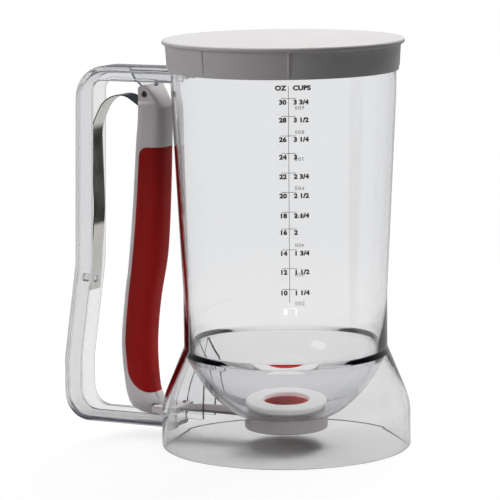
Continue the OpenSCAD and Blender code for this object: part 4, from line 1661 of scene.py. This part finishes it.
@dataclass
class Scale:
    """The measuring scale: fluid ounces and cups in front, millilitres on the far wall."""

    s: Sizes
    front: float = 27.4
    far: float = 196.2
    text_h: float = 1.95
    depth: float = 0.05
    lift: float = 0.04
    tick_w: float = 6.7
    stroke: float = 0.22
    text_drop: float = 1.75
    line_z: Point = (74.6, 172.4)
    line_pieces: int = 48
    marks: list[Mark] = field(
        default_factory=lambda: [
            Mark(166.9, "30", "3 3/4"),
            Mark(158.9, "28", "3 1/2"),
            Mark(150.2, "26", "3 1/4"),
            Mark(142.3, "24", "3"),
            Mark(133.5, "22", "2 3/4"),
            Mark(124.8, "20", "2 1/2"),
            Mark(115.8, "18", "2 1/4"),
            Mark(108.2, "16", "2"),
            Mark(98.7, "14", "1 3/4"),
            Mark(90.1, "12", "1 1/2"),
            Mark(80.6, "10", "1 1/4"),
        ]
    )
    far_marks: dict[str, float] = field(
        default_factory=lambda: {
            "900": 152.3,
            "800": 140.7,
            "700": 127.8,
            "600": 113.9,
            "500": 100.3,
            "400": 86.5,
            "300": 72.4,
            "200": 58.4,
        }
    )

    def word(
        self, text: str, x: float, z: float, align: str, height: float, bold: float = 0.16, gap: float = 1.04
    ) -> bpy.types.Object:
        """A flat word, standing in X and Z with its thickness along Y.

        Args:
            text: The word.
            x: Place of its left end, middle or right end.
            z: Height of its middle.
            align: LEFT, CENTER or RIGHT.
            height: Height of its capitals.
            bold: How far its strokes are thickened on each side.
            gap: Space between its letters, as a share of the usual one.

        Returns:
            The word as a mesh, in place.
        """
        data = bpy.data.curves.new("word", "FONT")
        data.body = text
        data.size = height / 0.69 * MM
        data.align_x = align
        data.align_y = "CENTER"
        data.extrude = self.depth / 2 * MM
        data.offset = bold * MM
        data.space_character = gap
        data.resolution_u = 4
        flat = bake(linked("word", data))
        place = Matrix(((1.12, 0, 0, x * MM), (0, 0, -1, self.lift * MM), (0, 1, 0, z * MM), (0, 0, 0, 1)))
        flat.data.transform(place)
        return flat

    def gather(self, name: str, parts: Sequence[bpy.types.Object]) -> bpy.types.Object:
        """One object from several."""
        bm = bmesh.new()
        for part in parts:
            bm.from_mesh(part.data)
            bpy.data.objects.remove(part)
        mesh = bpy.data.meshes.new(name)
        bm.to_mesh(mesh)
        bm.free()
        return linked(name, mesh)

    def bars(
        self, name: str, spots: Sequence[Point], ticks: GeometryTree, length: float, stroke: float
    ) -> bpy.types.Object:
        """Thin bars at points of X and height, still flat."""
        base = bpy.data.meshes.new(name)
        base.from_pydata([(x * MM, self.lift * MM, z * MM) for x, z in spots], [], [])
        return ticks.apply(
            linked(name, base), Length=length * MM, Stroke=stroke * MM, Depth=self.depth * MM, Material=None
        )

    def wrap(self, obj: bpy.types.Object, wrap: GeometryTree, angle: float, ink: bpy.types.Material) -> None:
        """Wraps flat print round the jug and dresses it."""
        s = self.s
        taper = (s.rim_r - s.waist_r) / (s.collar_z - s.straight_z)
        placed = wrap.apply(
            obj,
            Front_angle=math.radians(angle),
            Waist_radius=s.waist_r * MM,
            Straight_height=s.straight_z * MM,
            Taper=taper,
            Material=ink,
        )
        dress(placed, ink, Body.ROOT, Slot.CLEAR)

    def build(self, finishes: Finishes, ticks: GeometryTree, wrap: GeometryTree) -> None:
        """Builds the print in front and on the far wall."""
        words = [self.word("OZ", -1.1, 171.5, "RIGHT", 2.0), self.word("CUPS", 2.0, 171.5, "LEFT", 2.0)]
        for mark in self.marks:
            z = mark.z - self.text_drop
            words.append(self.word(mark.left, -1.0, z, "RIGHT", self.text_h))
            words.append(self.word(mark.right, 2.2, z, "LEFT", self.text_h))
        self.wrap(self.gather("scale_numbers", words), wrap, self.front, finishes.ink)
        rows = self.bars("scale_ticks", [(0.0, mark.z) for mark in self.marks], ticks, self.tick_w, self.stroke)
        self.wrap(rows, wrap, self.front, finishes.line_ink)
        low, top = self.line_z
        step = (top - low) / self.line_pieces
        spots = [(0.0, low + step * (i + 0.5)) for i in range(self.line_pieces)]
        line = self.bars("scale_line", spots, ticks, self.stroke, step + 0.02)
        self.wrap(line, wrap, self.front, finishes.line_ink)
        pale = [self.word("8", -1.0, 70.0, "RIGHT", self.text_h), self.word("1", 2.2, 70.0, "LEFT", self.text_h)]
        pale.append(self.bars("pale_tick", [(0.0, 71.8)], ticks, self.tick_w, self.stroke))
        self.wrap(self.gather("scale_low_mark", pale), wrap, self.front, finishes.pale_ink)
        far = [self.word(text, 0.0, z, "CENTER", 1.7, bold=0.02, gap=1.22) for text, z in self.far_marks.items()]
        self.wrap(self.gather("scale_far_numbers", far), wrap, self.far, finishes.far_ink)


# ---------------------------------------------------------------- studio


@dataclass
class Studio:
    """A plain white floor, soft lamps from above and the camera of the photograph."""

    camera_place: Point3 = (0.578133, -1.239811, 0.29781)
    azimuth: float = 25.6766
    pitch: float = 8.577
    roll: float = -0.6021
    lens: float = 214.82
    floor_size: float = 24.0

    def camera(self) -> None:
        """Makes the camera at the photograph's viewing angle."""
        az, tip, roll = (math.radians(v) for v in (self.azimuth, self.pitch, self.roll))
        ahead = Vector((-math.sin(az) * math.cos(tip), math.cos(az) * math.cos(tip), -math.sin(tip)))
        right = Vector((math.cos(az), math.sin(az), 0))
        up = right.cross(ahead)
        x_axis = right * math.cos(roll) + up * math.sin(roll)
        y_axis = -right * math.sin(roll) + up * math.cos(roll)
        turn = Matrix((x_axis, y_axis, -ahead)).transposed().to_4x4()
        data = bpy.data.cameras.new("camera")
        data.lens, data.sensor_width, data.clip_start = self.lens, 36.0, 0.01
        obj = linked("camera", data)
        obj.matrix_world = Matrix.Translation(self.camera_place) @ turn
        bpy.context.scene.camera = obj

    def lamp(
        self,
        name: str,
        place: Point3,
        size: Point,
        watts: float,
        colour: Point3,
        mirrored: bool = False,
        aim: Point3 = (0, 0, 0.08),
        spread_deg: float = 180.0,
    ) -> None:
        """A soft rectangular lamp, aimed at the object.

        Args:
            name: Name of the lamp.
            place: Where it stands, in metres.
            size: Its width and height.
            watts: Its power.
            colour: Its colour.
            mirrored: Whether it shows in reflections and through the clear walls.
            aim: The point it is turned to, in metres.
            spread_deg: How wide its light opens.
        """
        data = bpy.data.lights.new(name, "AREA")
        data.shape, data.size, data.size_y = "RECTANGLE", size[0], size[1]
        data.energy, data.color = watts, colour
        data.spread = math.radians(spread_deg)
        obj = linked(name, data)
        obj.visible_glossy = obj.visible_transmission = mirrored
        turn = (Vector(aim) - Vector(place)).to_track_quat("-Z", "Y")
        obj.matrix_world = Matrix.Translation(place) @ turn.to_matrix().to_4x4()

    def low_lamp(self, name: str, place: Point3, watts: float, aim_z: float, spread_deg: float) -> None:
        """A small lamp that throws a narrow beam on the lever.

        Args:
            name: Name of the lamp.
            place: Where it stands, in metres.
            watts: Its power.
            aim_z: Height of the middle of its beam at the lever, in metres.
            spread_deg: How wide its light opens.
        """
        self.lamp(name, place, (0.1, 0.07), watts, (1.0, 0.97, 0.97), aim=(-0.08, 0, aim_z), spread_deg=spread_deg)

    def floor(self) -> None:
        """A pale floor that reads white to the camera and keeps the object's shadow."""
        half = self.floor_size / 2
        mesh = bpy.data.meshes.new("floor")
        mesh.from_pydata([(-half, -half, 0), (half, -half, 0), (half, half, 0), (-half, half, 0)], [], [(0, 1, 2, 3)])
        obj = linked("floor", mesh)
        made, g = material("studio_floor")
        ray = g.add("ShaderNodeLightPath")
        spot = g.add("ShaderNodeTexCoord").outputs["Object"]
        away = g.add("ShaderNodeVectorMath", {0: spot}, operation="LENGTH").outputs["Value"]
        far = g.add(
            "ShaderNodeMapRange", {0: away, 1: 0.15, 2: 0.75, 3: 0.0, 4: 1.0}, interpolation_type="SMOOTHSTEP"
        ).outputs[0]

        def lit(level: float) -> bpy.types.NodeSocket:
            """Plain floor of a reflectance."""
            return g.add("ShaderNodeBsdfDiffuse", {"Color": (level, level, level, 1)}).outputs[0]

        def glow(level: float) -> bpy.types.NodeSocket:
            """Even backdrop of a brightness."""
            return g.add("ShaderNodeEmission", {"Color": (1, 1, 1, 1), "Strength": level}).outputs[0]

        def mixed(
            share: bpy.types.NodeSocket, a: bpy.types.NodeSocket, b: bpy.types.NodeSocket
        ) -> bpy.types.NodeSocket:
            """One shader turning into another by a share."""
            return g.add("ShaderNodeMixShader", {0: share, 1: a, 2: b}).outputs[0]

        shown = g.add("ShaderNodeAddShader", {0: lit(0.3), 1: glow(0.76)}).outputs[0]
        direct = mixed(far, shown, glow(1.0))
        through = mixed(far, lit(0.85), glow(0.86))
        mirrored = mixed(far, lit(0.5), glow(0.5))
        out = mixed(ray.outputs["Is Glossy Ray"], lit(0.2), mirrored)
        out = mixed(ray.outputs["Is Transmission Ray"], out, through)
        out = mixed(ray.outputs["Is Camera Ray"], out, direct)
        g.add("ShaderNodeOutputMaterial", {"Surface": out})
        mesh.materials.append(made)

    def world(self) -> None:
        """White to the camera, a soft studio in reflections and a weak even fill on the object."""
        made = bpy.data.worlds.new("studio")
        made.use_nodes = True
        g = Graph(made.node_tree)
        ray = g.add("ShaderNodeLightPath")
        up = g.add("ShaderNodeSeparateXYZ", {0: g.add("ShaderNodeTexCoord").outputs["Generated"]}).outputs[2]
        ramp = g.add("ShaderNodeValToRGB", {0: up})
        stops = ramp.color_ramp
        stops.elements[0].position, stops.elements[0].color = 0.08, (0.86, 0.86, 0.86, 1)
        stops.elements[1].position, stops.elements[1].color = 0.3, (0.09, 0.1, 0.14, 1)
        for place, value in ((0.7, 0.08), (0.9, 0.2)):
            stop = stops.elements.new(place)
            stop.color = (value, value * 1.04, value * 1.35, 1)

        def sky(colour: object, level: float) -> bpy.types.NodeSocket:
            """An even or shaded sky."""
            return g.add("ShaderNodeBackground", {"Color": colour, "Strength": level}).outputs[0]

        def mixed(kind: str, a: bpy.types.NodeSocket, b: bpy.types.NodeSocket) -> bpy.types.NodeSocket:
            """One sky, and another for a kind of ray."""
            return g.add("ShaderNodeMixShader", {0: ray.outputs[kind], 1: a, 2: b}).outputs[0]

        out = mixed("Is Glossy Ray", sky((1.0, 0.95, 0.98, 1), 0.045), sky(ramp.outputs[0], 0.42))
        out = mixed("Is Transmission Ray", out, sky(ramp.outputs[0], 1.0))
        last = g.add(
            "ShaderNodeMixShader", {0: ray.outputs["Is Camera Ray"], 1: out, 2: sky((1, 1, 1, 1), 1.0)}
        )
        g.add("ShaderNodeOutputWorld", {"Surface": last.outputs[0]})
        bpy.context.scene.world = made

    def build(self) -> None:
        """Builds the studio."""
        self.camera()
        self.floor()
        self.world()
        self.lamp("overhead", (-0.15, 0.35, 1.45), (1.3, 1.3), 18.0, (1.0, 0.99, 0.98))
        self.lamp("left_front", (-1.07, -1.18, 0.55), (0.5, 0.7), 5.2, (1.0, 0.97, 0.96))
        self.lamp("right_back", (0.08, 1.1, 1.25), (0.8, 0.8), 9.5, (1.0, 0.99, 0.98))
        self.low_lamp("right_low", (1.28, -0.2, 0.12), 0.02, 0.045, 9)
        self.low_lamp("left_low", (-0.62, -1.22, 0.12), 0.01, 0.02, 13)
        self.lamp("window", (-0.67, -1.27, 1.3), (0.62, 0.33), 1.3, (1.0, 1.0, 1.0), mirrored=True)
        bpy.context.scene.view_settings.view_transform = "Standard"
        LOG.info("studio: floor, world, lamps and camera")


def main() -> None:
    """Builds every sub-assembly in order."""
    logging.basicConfig(level=logging.INFO, format="%(name)s: %(message)s")
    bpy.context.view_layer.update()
    Studio().build()
    finishes = Finishes()
    spring = LeafSpring(SIZES)
    ClearBody(SIZES).build(finishes, revolve_tree())
    Handle(SIZES).build(finishes, spring)
    spring.build(finishes, strip_tree())
    Lever(SIZES).build(finishes)
    Valve(SIZES).build(finishes)
    Lid(SIZES).build(finishes, ring_of_tree())
    Scale(SIZES).build(finishes, ticks_tree(), wrap_tree())
    redress("pivot_pin", finishes.pin)


if __name__ == "__main__":
    main()
